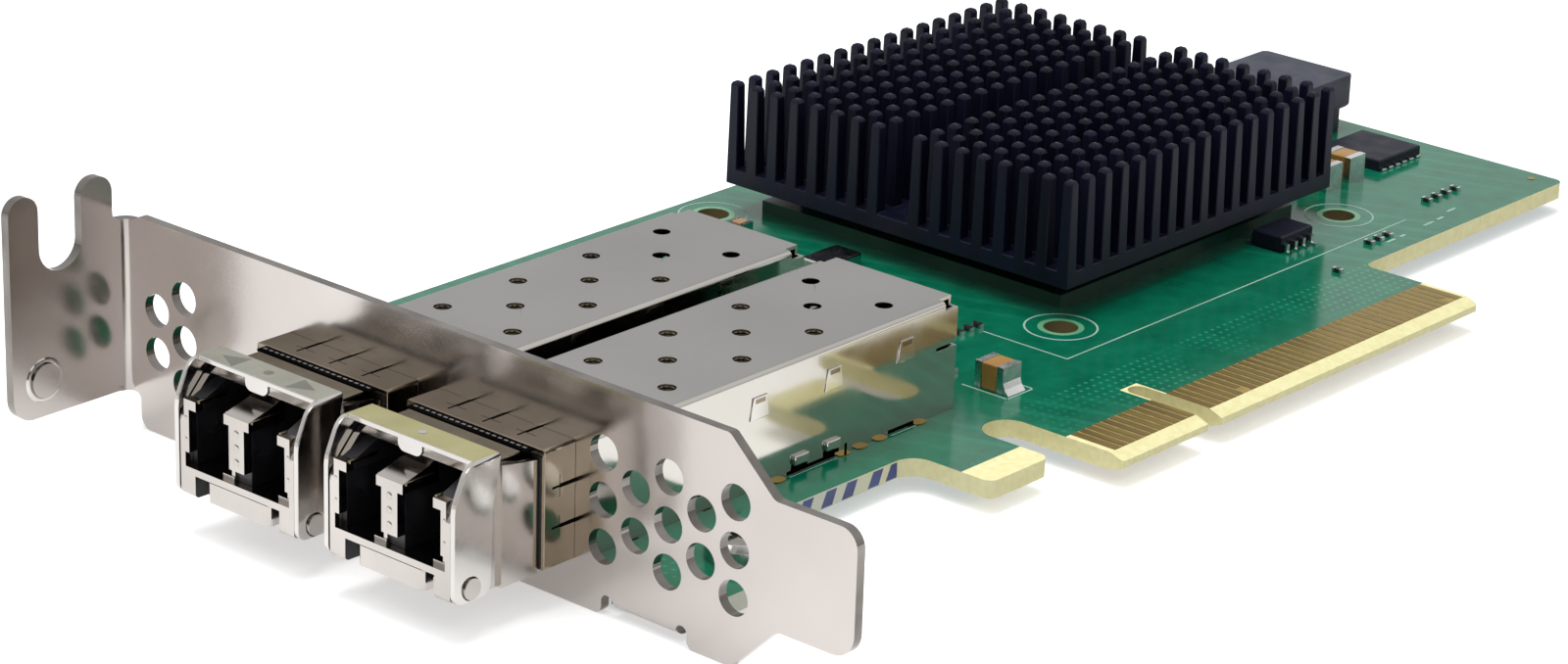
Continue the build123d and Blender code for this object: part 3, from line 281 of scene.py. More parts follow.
class Finish(Nodes):
    """A procedural finish: a Principled shader plus the nodes that feed it."""

    def __init__(self, name, colour, metal=0.0, rough=0.5):
        self.material = bpy.data.materials.new(name)
        self.material.use_nodes = True
        super().__init__(self.material.node_tree)
        self.shader = self.tree.nodes["Principled BSDF"]
        self.shader.inputs["Base Color"].default_value = (*colour, 1)
        self.shader.inputs["Metallic"].default_value = metal
        self.shader.inputs["Roughness"].default_value = rough
        self.place = self.add("ShaderNodeTexCoord").outputs["Object"]

    def feed(self, source, socket):
        self.link(source, self.shader.inputs[socket])

    def stretch(self, scale):
        mapping = self.add("ShaderNodeMapping")
        mapping.inputs["Scale"].default_value = scale
        self.link(self.place, mapping.inputs["Vector"])
        return mapping.outputs["Vector"]

    def noise(self, scale, detail=3.0, rough=0.5, place=None):
        node = self.add("ShaderNodeTexNoise")
        node.inputs["Scale"].default_value = scale
        node.inputs["Detail"].default_value = detail
        node.inputs["Roughness"].default_value = rough
        self.link(place or self.place, node.inputs["Vector"])
        return node.outputs["Fac"]

    def mix(self, factor, a, b):
        node = self.add("ShaderNodeMix", data_type="RGBA")
        self.link(factor, node.inputs["Factor"])
        for socket, value in (("A", a), ("B", b)):
            target = [s for s in node.inputs if s.name == socket and s.type == "RGBA"][0]
            if isinstance(value, tuple):
                target.default_value = (*value, 1)
            else:
                self.link(value, target)
        return [s for s in node.outputs if s.type == "RGBA"][0]

    def bump(self, source, depth, strength):
        node = self.add("ShaderNodeBump")
        node.inputs["Strength"].default_value = strength
        node.inputs["Distance"].default_value = depth
        self.link(source, node.inputs["Height"])
        self.feed(node.outputs["Normal"], "Normal")

    def part(self, axis):
        """One of the place's three numbers, in millimetres."""
        split = self.add("ShaderNodeSeparateXYZ")
        self.link(self.place, split.inputs["Vector"])
        return self.maths("MULTIPLY", split.outputs[axis], 1000.0)

    def product(self, first, *others):
        for other in others:
            first = self.maths("MULTIPLY", first, other)
        return first

    def between(self, value, low, high):
        """One where a number lies in a span, and nought elsewhere."""
        return self.product(self.maths("GREATER_THAN", value, low),
                            self.maths("LESS_THAN", value, high))

    def lanes(self, scale, slant, wander):
        """Fine parallel tracks that run across the board."""
        wave = self.add("ShaderNodeTexWave", wave_type="BANDS", bands_direction="DIAGONAL")
        wave.inputs["Scale"].default_value = scale
        wave.inputs["Distortion"].default_value = wander
        wave.inputs["Detail"].default_value = 1.0
        wave.inputs["Detail Scale"].default_value = 0.4
        self.link(self.stretch(slant), wave.inputs["Vector"])
        return self.span(wave.outputs["Fac"], 0.74, 0.84, 0.0, 1.0)

    def dots(self, x, y, pitch, size):
        """Small round dots in even rows; size is a share of the pitch."""
        spans = []
        for value in (x, y):
            share = self.maths("FRACT", self.maths("DIVIDE", value, pitch))
            off = self.maths("SUBTRACT", share, 0.5)
            spans.append(self.maths("MULTIPLY", off, off))
        return self.maths("LESS_THAN", self.maths("ADD", spans[0], spans[1]), size * size)

    def facing(self, axis):
        """One of the true surface normal's three numbers."""
        split = self.add("ShaderNodeSeparateXYZ")
        self.link(self.add("ShaderNodeNewGeometry").outputs["True Normal"], split.inputs["Vector"])
        return split.outputs[axis]


def plated(name, dark, light, rough_low, rough_high, cloud=60.0, grain=2500.0, depth=4e-6):
    """Plated sheet: cloudy tone, uneven gloss and a fine rolled grain."""
    finish = Finish(name, light, metal=1.0, rough=rough_high)
    clouds = finish.noise(cloud, 4.0, 0.55)
    finish.feed(finish.ramp(clouds, [(0.3, dark), (0.7, light)]), "Base Color")
    smears = finish.noise(cloud * 4, 5.0, 0.6)
    finish.feed(finish.span(smears, 0.3, 0.7, rough_low, rough_high), "Roughness")
    finish.bump(finish.noise(grain, 2.0), depth, 0.25)
    return finish.material


def moulded(name, dark, light, rough, grain=1800.0, depth=1e-5, shine=0.5):
    """Moulded or painted matter with a fine pebbled skin."""
    finish = Finish(name, light, rough=rough)
    finish.shader.inputs["Specular IOR Level"].default_value = shine
    tone = finish.noise(220.0, 4.0)
    finish.feed(finish.ramp(tone, [(0.3, dark), (0.72, light)]), "Base Color")
    gloss = finish.span(finish.noise(500.0), 0.3, 0.7, rough - 0.07, rough + 0.07)
    finish.feed(gloss, "Roughness")
    finish.bump(finish.noise(grain, 3.0), depth, 0.35)
    return finish.material


def solder_mask():
    """Glossy green mask on the faces, pale laminate at the sawn edges, amber between contacts."""
    finish = Finish("solder_mask", (0.01, 0.22, 0.12), rough=0.2)
    finish.shader.inputs["Specular IOR Level"].default_value = 0.38
    x, y = finish.part("X"), finish.part("Y")
    flat = finish.maths("GREATER_THAN", finish.maths("ABSOLUTE", finish.facing("Z")), 0.98)

    copper = finish.noise(300.0, 6.0, 0.65)
    green = finish.ramp(copper, [(0.3, (0.002, 0.105, 0.055)), (0.5, (0.003, 0.135, 0.072)),
                                 (0.7, (0.005, 0.165, 0.090))])
    tracks = finish.product(finish.lanes(230.0, (1.0, 0.35, 1.0), 1.0),
                            finish.span(finish.noise(32.0, 2.0), 0.48, 0.56, 0.0, 0.35))
    green = finish.mix(tracks, green, (0.014, 0.215, 0.125))
    vias = finish.product(finish.dots(x, y, VIA_PITCH, VIA_SHARE),
                          finish.span(finish.noise(55.0, 2.0), 0.46, 0.54, 0.0, 0.8),
                          finish.between(y, *VIA_ROWS_Y))
    green = finish.mix(vias, green, (0.035, 0.27, 0.155))

    weave = finish.noise(1500.0, 2.0)
    laminate = finish.ramp(weave, [(0.3, (0.80, 0.74, 0.38)), (0.7, (0.90, 0.85, 0.49))])
    amber = finish.ramp(weave, [(0.3, (0.25, 0.175, 0.055)), (0.7, (0.37, 0.265, 0.09))])
    pads = finish.product(finish.between(x, *CONTACTS_X), finish.between(y, *CONTACTS_Y), flat)
    laminate = finish.mix(pads, laminate, amber)
    sawn = finish.mix(finish.span(x, *EDGE_FADE_X, 0.85, 0.0), laminate, (0.56, 0.60, 0.53))
    # painted shade: the walls of the sink's holes are painted dark brown, as if in shadow
    bore_shade = finish.product(finish.maths("ADD", *(finish.between(x, *span) for span in BORES_X)),
                           finish.maths("ADD", *(finish.between(y, *span) for span in BORES_Y)))
    sawn = finish.mix(bore_shade, sawn, (0.16, 0.12, 0.045))

    bare = 0.0
    for low, high, top in BARE_ZONES:
        zone = finish.product(finish.between(x, low, high), finish.maths("LESS_THAN", y, top))
        bare = finish.maths("MAXIMUM", bare, zone)
    masked = finish.product(flat, finish.maths("SUBTRACT", 1.0, bare))
    finish.feed(finish.mix(masked, finish.mix(flat, sawn, laminate), green), "Base Color")
    finish.feed(finish.span(masked, 0.0, 1.0, 0.62, 0.15), "Roughness")
    finish.bump(finish.maths("ADD", finish.product(tracks, 0.8), copper), 3e-6, 0.4)
    return finish.material


def contact_gold():
    """Plated contacts: brown gold with wipe marks along Y."""
    finish = Finish("contact_gold", (0.25, 0.17, 0.06), metal=1.0, rough=0.35)
    wipes = finish.noise(60.0, 4.0, 0.6, finish.stretch((40.0, 2.0, 1.0)))
    gold = finish.ramp(wipes, [(0.3, (0.21, 0.145, 0.038)), (0.7, (0.39, 0.29, 0.085))])
    finish.feed(gold, "Base Color")
    finish.feed(finish.span(wipes, 0.3, 0.7, 0.26, 0.42), "Roughness")
    return finish.material


def anodised():
    """Black anodised aluminium, faintly blue, with saw marks down the pins."""
    finish = Finish("anodised", (0.006, 0.007, 0.014), metal=0.2, rough=0.45)
    finish.shader.inputs["Specular IOR Level"].default_value = 0.28
    marks = finish.noise(400.0, 3.0, 0.6, finish.stretch((1.0, 1.0, 0.12)))
    black = finish.ramp(marks, [(0.3, (0.002, 0.0025, 0.010)), (0.72, (0.006, 0.008, 0.027))])
    finish.feed(black, "Base Color")
    finish.feed(finish.span(marks, 0.3, 0.7, 0.42, 0.58), "Roughness")
    finish.bump(marks, 1.5e-5, 0.4)
    return finish.material


FINISH = {
    "nickel": plated("bright_nickel", (0.43, 0.395, 0.372), (0.55, 0.512, 0.488), 0.14, 0.22,
                     35.0, 2500.0, 6e-6),
    "cage": plated("cage_sheet", (0.30, 0.295, 0.285), (0.37, 0.365, 0.355), 0.30, 0.40,
                   50.0, 4000.0, 8e-6),
    "cage_side": plated("cage_side", (0.44, 0.42, 0.385), (0.55, 0.53, 0.49), 0.06, 0.14, 50.0),
    "collar": plated("collar_sheet", (0.18, 0.145, 0.10), (0.33, 0.28, 0.215), 0.12, 0.22, 90.0),
    "bronze": plated("bronze_sheet", (0.20, 0.165, 0.115), (0.34, 0.30, 0.225), 0.12, 0.24, 120.0),
    "nose": plated("cast_nose", (0.42, 0.39, 0.365), (0.54, 0.505, 0.475), 0.10, 0.20,
                   90.0, 2600.0, 2e-6),
    "leg": plated("bail_sheet", (0.50, 0.475, 0.455), (0.62, 0.60, 0.575), 0.08, 0.18, 120.0),
    # a darker, glossier copy of the nickel: painted dark reflection on the bracket's cut edges
    "dark_edge_reflection": plated("dark_edge_reflection", (0.09, 0.082, 0.075), (0.26, 0.24, 0.22), 0.08, 0.14, 150.0),
    "steel": plated("screw_steel", (0.5, 0.49, 0.47), (0.62, 0.61, 0.59), 0.16, 0.26, 300.0),
    "tin": plated("tinned_ends", (0.55, 0.55, 0.56), (0.75, 0.75, 0.75), 0.2, 0.35,
                  250.0, 2500.0, 1e-6),
    "can": plated("crystal_can", (0.5, 0.5, 0.49), (0.66, 0.66, 0.64), 0.18, 0.3, 200.0),
    "sleeve": plated("sleeve_steel", (0.35, 0.35, 0.36), (0.5, 0.5, 0.5), 0.2, 0.3, 300.0),
    "port_black": moulded("port_black", (0.006, 0.006, 0.008), (0.016, 0.016, 0.019), 0.32),
    "black_epoxy": moulded("black_epoxy", (0.007, 0.008, 0.015), (0.016, 0.018, 0.032), 0.5,
                           shine=0.2),
    "seal": moulded("seal_black", (0.006, 0.006, 0.006), (0.02, 0.02, 0.02), 0.5),
    "inductor": moulded("pressed_powder", (0.040, 0.043, 0.060), (0.075, 0.080, 0.108), 0.6,
                        2600.0, 3e-5, shine=0.25),
    "tan": moulded("tan_ceramic", (0.32, 0.19, 0.10), (0.45, 0.28, 0.16), 0.4),
    "amber": moulded("amber_ceramic", (0.30, 0.155, 0.035), (0.42, 0.235, 0.06), 0.35),
    "resistor": moulded("resistor_glaze", (0.012, 0.010, 0.010), (0.035, 0.030, 0.030), 0.3),
    "laminate_green": moulded("package_green", (0.004, 0.05, 0.03), (0.010, 0.09, 0.055), 0.4),
    "pad_grey": moulded("thermal_grey", (0.22, 0.22, 0.23), (0.32, 0.32, 0.33), 0.8),
    "pale_label": moulded("bail_pale", (0.215, 0.21, 0.17), (0.285, 0.28, 0.235), 0.45,
                          1200.0, 4e-6),
    "khaki_label": moulded("bail_khaki", (0.29, 0.265, 0.12), (0.355, 0.325, 0.16), 0.45,
                           1200.0, 4e-6),
    "label_shade": moulded("label_shade", (0.12, 0.12, 0.10), (0.16, 0.16, 0.135), 0.5),
    # black used as painted shade in the collar's slits and the cage's openings, and for the real
    # black seal band
    "shade_and_seal_black": moulded("shade_and_seal_black", (0.002, 0.002, 0.002), (0.006, 0.005, 0.005), 0.9,
                          shine=0.0),
    "ink": moulded("print_white", (0.27, 0.42, 0.35), (0.38, 0.53, 0.46), 0.6, 900.0, 3e-6),
    "blue_ink": moulded("blue_ink", (0.030, 0.045, 0.15), (0.055, 0.08, 0.24), 0.6, 900.0, 2e-6),
    "bare_rim": moulded("pale_green_rim", (0.10, 0.30, 0.16), (0.16, 0.40, 0.23), 0.3),
    "pad_gold": plated("foot_gold", (0.30, 0.19, 0.025), (0.50, 0.335, 0.06), 0.12, 0.2, 300.0),
    "mask": solder_mask(),
    "gold": contact_gold(),
    "anodised": anodised(),
}


def around(middle, half):
    """The span that reaches as far both ways from a middle."""
    return middle - half, middle + half


def shifted(span, by):
    return span[0] + by, span[1] + by


def box(bm, x, y, z):
    """A box between three (low, high) pairs; returns its vertices."""
    size = (x[1] - x[0], y[1] - y[0], z[1] - z[0])
    middle = ((x[0] + x[1]) / 2, (y[0] + y[1]) / 2, (z[0] + z[1]) / 2)
    matrix = Matrix.Translation(middle) @ Matrix.Diagonal((*size, 1))
    return bmesh.ops.create_cube(bm, size=1.0, matrix=matrix)["verts"]


def edges_of(verts):
    return list({edge for vert in verts for edge in vert.link_edges})


def soften(bm, edges, width, segments=2):
    if edges:
        bmesh.ops.bevel(bm, geom=edges, offset=width, offset_type="OFFSET", affect="EDGES",
                        segments=segments, profile=0.5, material=-1, clamp_overlap=True)


def soft_box(bm, x, y, z, width):
    soften(bm, edges_of(box(bm, x, y, z)), width)


def prism(bm, outline, axis, low, high):
    """An outline pushed from low to high along an axis. Y outlines are (x, z), X ones (y, z)."""
    def spot(point, level):
        a, b = point
        return {"X": (level, a, b), "Y": (a, level, b), "Z": (a, b, level)}[axis]
    ring = [bm.verts.new(spot(point, low)) for point in outline]
    cap = bm.faces.new(ring)
    grown = bmesh.ops.extrude_face_region(bm, geom=[cap])
    fresh = [item for item in grown["geom"] if isinstance(item, bmesh.types.BMVert)]
    push = {"X": (1, 0, 0), "Y": (0, 1, 0), "Z": (0, 0, 1)}[axis]
    bmesh.ops.translate(bm, verts=fresh, vec=Vector(push) * (high - low))
    return ring + fresh


def disc(bm, centre, radius, height, sides=24):
    return bmesh.ops.create_cone(bm, cap_ends=True, segments=sides, radius1=radius, radius2=radius,
                                 depth=height, matrix=Matrix.Translation(centre))["verts"]


def ring(bm, centre, section, axis=(0, 0, 1)):
    """A small section of (radius, rise) points turned round an axis."""
    across, along = Vector((1, 0, 0)), Vector(axis)
    verts = [bm.verts.new(Vector(centre) + across * radius + along * rise)
             for radius, rise in section]
    edges = [bm.edges.new((verts[i], verts[(i + 1) % len(verts)])) for i in range(len(verts))]
    bmesh.ops.spin(bm, geom=verts + edges, cent=centre, axis=axis, angle=2 * math.pi,
                   steps=RING_SIDES, use_merge=True)


def flat_ring(bm, x, y, inner, outer, height):
    ring(bm, (x, y, 0), [(inner, 0), (outer, 0), (outer, height), (inner, height)])


def boss(bm, centre, radius, height):
    """A low round boss on a face that looks along -X."""
    verts = bmesh.ops.create_uvsphere(bm, u_segments=16, v_segments=8, radius=radius)["verts"]
    bmesh.ops.scale(bm, vec=(height / radius, 1, 1), verts=verts)
    bmesh.ops.translate(bm, vec=centre, verts=verts)


def sharp_edges(bm):
    return [edge for edge in bm.edges
            if len(edge.link_faces) == 2 and edge.calc_face_angle(0) > EASE_ANGLE]


def place_piece(name, bm, finishes, body="card", nodes=(), choose=None):
    """Turns a mesh in millimetres into a finished piece; choose gives each face its finish."""
    bmesh.ops.remove_doubles(bm, verts=bm.verts, dist=1e-5)
    bmesh.ops.recalc_face_normals(bm, faces=bm.faces)
    for face in bm.faces:
        width = 2 * face.calc_area() / max(face.calc_perimeter(), 1e-6)
        face.smooth = width < EASED_WIDTH
        if choose:
            face.material_index = choose(face.normal, face.calc_center_median())
    for edge in bm.edges:
        edge.smooth = len(edge.link_faces) == 2 and edge.calc_face_angle(0) < SMOOTH_ANGLE
    bmesh.ops.scale(bm, vec=(MM, MM, MM), verts=bm.verts)
    mesh = bpy.data.meshes.new(name)
    bm.to_mesh(mesh)
    bm.free()
    piece = bpy.data.objects.new(name, mesh)
    bpy.context.scene.collection.objects.link(piece)
    for finish in finishes:
        mesh.materials.append(FINISH[finish])
    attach(piece, body)
    if nodes:
        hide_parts(*nodes)


def merged_copy(node):
    """A welded copy of a CAD node's mesh, in millimetres, with its flat faces joined."""
    bm = bmesh.new()
    bm.from_mesh(NODES[node].data)
    bmesh.ops.scale(bm, vec=(1 / MM, 1 / MM, 1 / MM), verts=bm.verts)
    bmesh.ops.remove_doubles(bm, verts=bm.verts, dist=1e-4)
    bmesh.ops.dissolve_limit(bm, angle_limit=math.radians(1.0), verts=bm.verts, edges=bm.edges)
    return bm


def finish_node(node, finish):
    """Gives a carried-over CAD node its finish."""
    slots = NODES[node].data.materials
    slots.clear()
    slots.append(FINISH[finish])


def eased_node(node, width, finishes, body="card", segments=2, choose=None):
    """A CAD node with its sharp edges eased by a width, as pressing or casting leaves them."""
    bm = merged_copy(node)
    soften(bm, sharp_edges(bm), width, segments)
    place_piece(node + "_eased", bm, finishes, body, [node], choose)


def dress_board():
    finish_node("circuit_board", "mask")
    finish_node("edge_contacts_component_side", "gold")
    finish_node("edge_contacts_solder_side", "gold")


def board_print():
    """Plain printed lines: the frame round the sink, rings at its holes, marks by the parts."""
    bm = bmesh.new()
    for x, y, length, width in PRINT_LINES:
        box(bm, (x, x + length), (y, y + width), (0, PRINT_T))
    for x, y in SINK_HOLES:
        flat_ring(bm, x, y, *around(*HOLE_RING), PRINT_T)
    place_piece("board_print", bm, ["ink"])
    bm = bmesh.new()
    for x, y in SINK_HOLES:
        flat_ring(bm, x, y, *shifted(HOLE_RIM, SINK_HOLE_R), PRINT_T / 2)
    place_piece("sink_hole_rims", bm, ["bare_rim"])


def foot_pads():
    """Gold pads at the feet of the cages, and the one by the board's rear corner."""
    bm = bmesh.new()
    for x in FOOT_PADS_X:
        for centre in PORTS.values():
            for side in (-1, 1):
                spot = (x, centre + side * (CAGE_HALF + FOOT_PAD_OUT), FOOT_PAD_T / 2)
                pad = disc(bm, spot, FOOT_PAD_R, FOOT_PAD_T, sides=PAD_SIDES)
                bmesh.ops.scale(bm, vec=(FOOT_PAD_STRETCH, 1, 1), verts=pad,
                                space=Matrix.Translation(spot).inverted())
    disc(bm, (*CORNER_PAD, PRINT_T), CORNER_PAD_R, 2 * PRINT_T, sides=PAD_SIDES)
    place_piece("cage_foot_pads", bm, ["pad_gold"])


def edge_stripes():
    """Slanted stripes printed on the sawn edge by the bracket."""
    bm = bmesh.new()
    for x in EDGE_STRIPES_X:
        outline = [(x + dx, z) for dx, z in STRIPE_OUTLINE]
        prism(bm, outline, "Y", EDGE_Y - 0.01, EDGE_Y + 0.05)
    place_piece("edge_stripes", bm, ["blue_ink"])


def bracket_finish(normal, centre):
    """Painted dark reflection where the sheet was cut: its outline, the slot and the round holes.
    """
    if centre.x > EAR_X:
        return 1 if abs(normal.z) < 0.6 else 0
    if centre.y < TAB_Y:
        return 1 if abs(normal.x) < 0.6 else 0
    return 1 if abs(normal.z) > 0.6 or (abs(normal.y) < 0.6 and centre.x < TAB_X) else 0


def dress_bracket():
    # the second finish paints a dark reflection on the bracket's cut edges
    eased_node("mounting_bracket", EASE_BRACKET, ["nickel", "dark_edge_reflection"], segments=3,
               choose=bracket_finish)
    eased_node("bracket_screws", EASE_BRACKET, ["steel"], segments=3)
    bm = bmesh.new()
    ring(bm, STUD, STUD_SECTION, (0, -1, 0))
    place_piece("stud_collar", bm, ["leg"])


def cage_finish(normal, centre):
    """Satin on the roof, mirror on the folded sides."""
    return 0 if normal.z > 0.9 else 1


def nose_finish(normal, centre):
    """Black painted shade in the notches beside the finger bar, cast metal elsewhere."""
    offset = min(abs(centre.y - port) for port in PORTS.values())
    in_notch = NOTCH_X[0] < centre.x < NOTCH_X[1] and centre.z < NOTCH_TOP
    # painted shade: faces deep in a notch take the black plastic finish
    return 1 if in_notch and offset < NOTCH_HALF else 0


def bail_finish(normal, centre):
    """The tinted strip lies on the top plate."""
    return 1 if normal.z > 0.95 and centre.z > BAIL_PLATE_Z else 0


def dress_ports():
    for side in PORTS:
        eased_node(side + "_cage_shell", EASE_SHEET, ["cage", "cage_side"], choose=cage_finish)
        finish_node(side + "_cage_base", "cage_side")
        eased_node(side + "_emi_collar", EASE_COLLAR, ["collar"])
        finish_node(side + "_mouth_seal", "seal")
        finish_node(side + "_host_connector", "port_black")
        # the black second finish is painted shade in the notches beside the finger bar
        eased_node(side + "_module_housing", EASE_CAST, ["nose", "port_black"], choose=nose_finish)
        eased_node(side + "_receptacle_insert", EASE_SHEET, ["port_black"])
        finish_node(side + "_ferrule_sleeves", "sleeve")
        finish_node(side + "_module_cover", "bronze")
        finish_node(side + "_optical_barrels", "sleeve")
        finish_node(side + "_module_board", "laminate_green")
        eased_node(side + "_latch_rocker", EASE_CAST, ["nose"], side + "_latch")
        finish_node(side + "_rocker_pin", "steel")
        label = "pale_label" if side == "left" else "khaki_label"
        eased_node(side + "_bail", EASE_CAST, ["leg", label], side + "_bail", choose=bail_finish)


def nose_sheet(side, centre, name, sheet, finish):
    """A thin sheet that lies across the nose."""
    bm = bmesh.new()
    x, half, z = sheet
    soft_box(bm, x, around(centre, half), z, EASE_THIN)
    place_piece(side + name, bm, [finish])


def port_trim(side, centre):
    """What sits on the module's nose: keyway rails, bosses, steps in the ports, thin sheets."""
    bm = bmesh.new()
    for offset in RAIL_OFFSETS:
        soft_box(bm, RAIL_X, around(centre + offset, RAIL_HALF), RAIL_Z, EASE_SHEET)
    place_piece(side + "_keyway_rails", bm, ["bronze"])
    bm = bmesh.new()
    levels, radius, height = POST_BOSSES
    for z in levels:
        boss(bm, (NOSE_FRONT, centre, z), radius, height)
    levels, radius, height = PILLAR_BOSSES
    for end in (-1, 1):
        for z in levels:
            boss(bm, (NOSE_FRONT, centre + end * PILLAR_OFFSET, z), radius, height)
    place_piece(side + "_post_bosses", bm, ["nose"])
    bm = bmesh.new()
    for corner in (centre - PORT_OUT, centre + PORT_IN):
        for x, y, z in PORT_STEPS:
            soft_box(bm, x, shifted(y, corner), shifted(z, PORT_LOW), EASE_SHEET)
    place_piece(side + "_port_keys", bm, ["nose"])
    nose_sheet(side, centre, "_nose_roof_sheet", ROOF_SHEET, "bronze")
    nose_sheet(side, centre, "_seal_band", SEAL_BAND, "shade_and_seal_black")
    bm = bmesh.new()
    for i in range(-FINGERS_EACH_WAY, FINGERS_EACH_WAY + 1):
        box(bm, FINGER_X, around(centre + i * FINGER_PITCH, FINGER_HALF), FINGER_Z)
    place_piece(side + "_seal_fingers", bm, ["sleeve"])


def collar_trim(side, centre):
    """Painted shade: black strips below the collar's slits and along the finer cuts, and the fine
    fold that crosses them.
    """
    half = CAGE_HALF + COLLAR_WALL
    slits_y = [centre - half + half * i / 2 for i in (1, 2, 3)]
    slits_z = [COLLAR_LOW + (COLLAR_TOP - COLLAR_LOW) * i / 3 for i in (1, 2)]
    slit_shade, fold = bmesh.new(), bmesh.new()
    for y in slits_y:
        box(slit_shade, SLIT_X, around(y, SLIT_HALF), (CAGE_TOP + 0.02, COLLAR_TOP - 0.03))
        box(slit_shade, CUT_X, around(y, CUT_HALF), shifted(SKIN, COLLAR_TOP))
        box(fold, FOLD_X, (y - 1.15, y + 0.9), shifted(SKIN, COLLAR_TOP))
    for z in slits_z:
        for end in (-1, 1):
            under = sorted((centre + end * (CAGE_HALF + 0.02), centre + end * (half - 0.03)))
            skin = sorted(centre + end * (half + depth) for depth in SKIN)
            box(slit_shade, SLIT_X, under, around(z, SLIT_HALF))
            box(slit_shade, CUT_X, skin, around(z, CUT_HALF))
            box(fold, FOLD_X, skin, around(z, 0.9))
    place_piece(side + "_slit_shade", slit_shade, ["shade_and_seal_black"])
    place_piece(side + "_collar_fold", fold, ["seal"])


def label_marks(side, centre):
    """Plain shapes on the bail's strip: two wedges and a dot, or one raised dimple."""
    bm = bmesh.new()
    if side == "left":
        for end in (-1, 1):
            outline = [(x, centre + end * offset) for x, offset in LABEL_WEDGE]
            prism(bm, outline, "Z", BAIL_TOP, BAIL_TOP + LABEL_INK)
        disc(bm, (LABEL_X, centre, BAIL_TOP + LABEL_INK / 2), LABEL_DOT_R, LABEL_INK)
        place_piece("left_label_marks", bm, ["label_shade"], "left_bail")
    else:
        verts = disc(bm, (LABEL_X, centre, BAIL_TOP + 0.01), DIMPLE_R, DIMPLE_T)
        soften(bm, edges_of(verts), 0.02)
        place_piece("right_label_dimple", bm, ["leg"], "right_bail")


def cage_tabs(side, centre):
    """Pressed tabs that show in the windows of the cage's sides, each with its slot."""
    tabs, slots = bmesh.new(), bmesh.new()
    for end in (-1, 1):
        wall = centre + end * CAGE_HALF
        tab_y = sorted((wall - end * 0.12, wall + end * 0.1))
        slot_y = sorted((wall + end * 0.08, wall + end * 0.11))
        for x in SIDE_TABS_X:
            verts = prism(tabs, [(x + dx, z) for dx, z in TAB_OUTLINE], "Y", *tab_y)
            soften(tabs, edges_of(verts), EASE_SHEET)
            box(slots, shifted(TAB_SLOT_X, x), slot_y, TAB_SLOT_Z)
    place_piece(side + "_cage_tabs", tabs, ["leg"])
    place_piece(side + "_cage_tab_slots", slots, ["collar"])


def cage_latches(side, centre):
    """Small latches low on the cage's sides, and black painted shade in the openings along its
    foot and under the latches.
    """
    latches, gap_shade = bmesh.new(), bmesh.new()
    for end in (-1, 1):
        wall = centre + end * CAGE_HALF
        latch_y = sorted((wall - end * 0.1, wall + end * 0.3))
        gap_y = sorted((wall - end * 0.1, wall + end * 0.03))
        for x0, x1, z0, z1 in WALL_LATCHES:
            soft_box(latches, (x0, x1), latch_y, (z0, z1), EASE_LATCH)
            box(gap_shade, (x0 - 0.1, x1 + 0.05), gap_y, (LATCH_GAP_Z, z0 + 0.05))
        for x0, x1, z0, z1 in WALL_GAPS:
            box(gap_shade, (x0, x1), gap_y, (z0, z1))
    place_piece(side + "_cage_latches", latches, ["leg"])
    place_piece(side + "_cage_gap_shade", gap_shade, ["shade_and_seal_black"])


def capacitor_finish(normal, centre):
    """The capacitors on the side of the contacts are amber, the rest are tan."""
    return 1 if centre.y < AMBER_Y else 0


def bulk_solder():
    """Solder that climbs the near end of the large capacitor."""
    bm = bmesh.new()
    prism(bm, BULK_SOLDER, "X", *BULK_SOLDER_X)
    place_piece("bulk_solder", bm, ["tin"])


def stage_leads():
    """Solder along the near edge of the flat package at the rear."""
    low, high = (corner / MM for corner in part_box("power_stage"))
    bm = bmesh.new()
    step = (high.x - low.x) / STAGE_LEADS
    for i in range(STAGE_LEADS):
        x = around(low.x + step * (i + 0.5), STAGE_LEAD_SHARE * step)
        soft_box(bm, x, shifted(STAGE_LEAD_Y, low.y), STAGE_LEAD_Z, EASE_SHEET)
    place_piece("stage_leads", bm, ["tin"])


def pin_sink():
    """The heat sink, with the slight taper and the domed tips that forging leaves on its pins."""
    bm = merged_copy("heat_sink")
    top = max(vert.co.z for vert in bm.verts) - 0.01
    low, high = (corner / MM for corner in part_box("heat_sink"))
    pitch = (high.x - low.x - SINK_PIN_W) / (SINK_PINS - 1)
    for vert in bm.verts:
        if vert.co.z > top:
            for axis in (0, 1):
                first = low[axis] + SINK_PIN_W / 2
                middle = first + round((vert.co[axis] - first) / pitch) * pitch
                vert.co[axis] = middle + (vert.co[axis] - middle) * SINK_TAPER
    tips = [edge for edge in bm.edges if all(vert.co.z > top for vert in edge.verts)]
    soften(bm, tips, SINK_DOME)
    soften(bm, sharp_edges(bm), 0.08, 1)
    place_piece("heat_sink_eased", bm, ["anodised"], nodes=["heat_sink"])


def dress_parts():
    pin_sink()
    for node, finish in (("chip_substrate", "laminate_green"), ("chip_lid", "black_epoxy"),
                         ("thermal_pad", "pad_grey"), ("chip_terminals", "tin"),
                         ("decoupling_capacitors", "tan"), ("decoupling_terminals", "tin"),
                         ("chip_resistors", "resistor"), ("package_leads", "tin"),
                         ("flash_memory", "black_epoxy"), ("regulator_driver", "black_epoxy"),
                         ("power_stage", "black_epoxy")):
        finish_node(node, finish)
    eased_node("power_inductor", EASE_MOULDED, ["inductor"], segments=3)
    eased_node("ceramic_capacitors", EASE_CERAMIC, ["tan", "amber"], choose=capacitor_finish)
    eased_node("crystal", EASE_MOULDED, ["can"])
    bulk_solder()
    stage_leads()


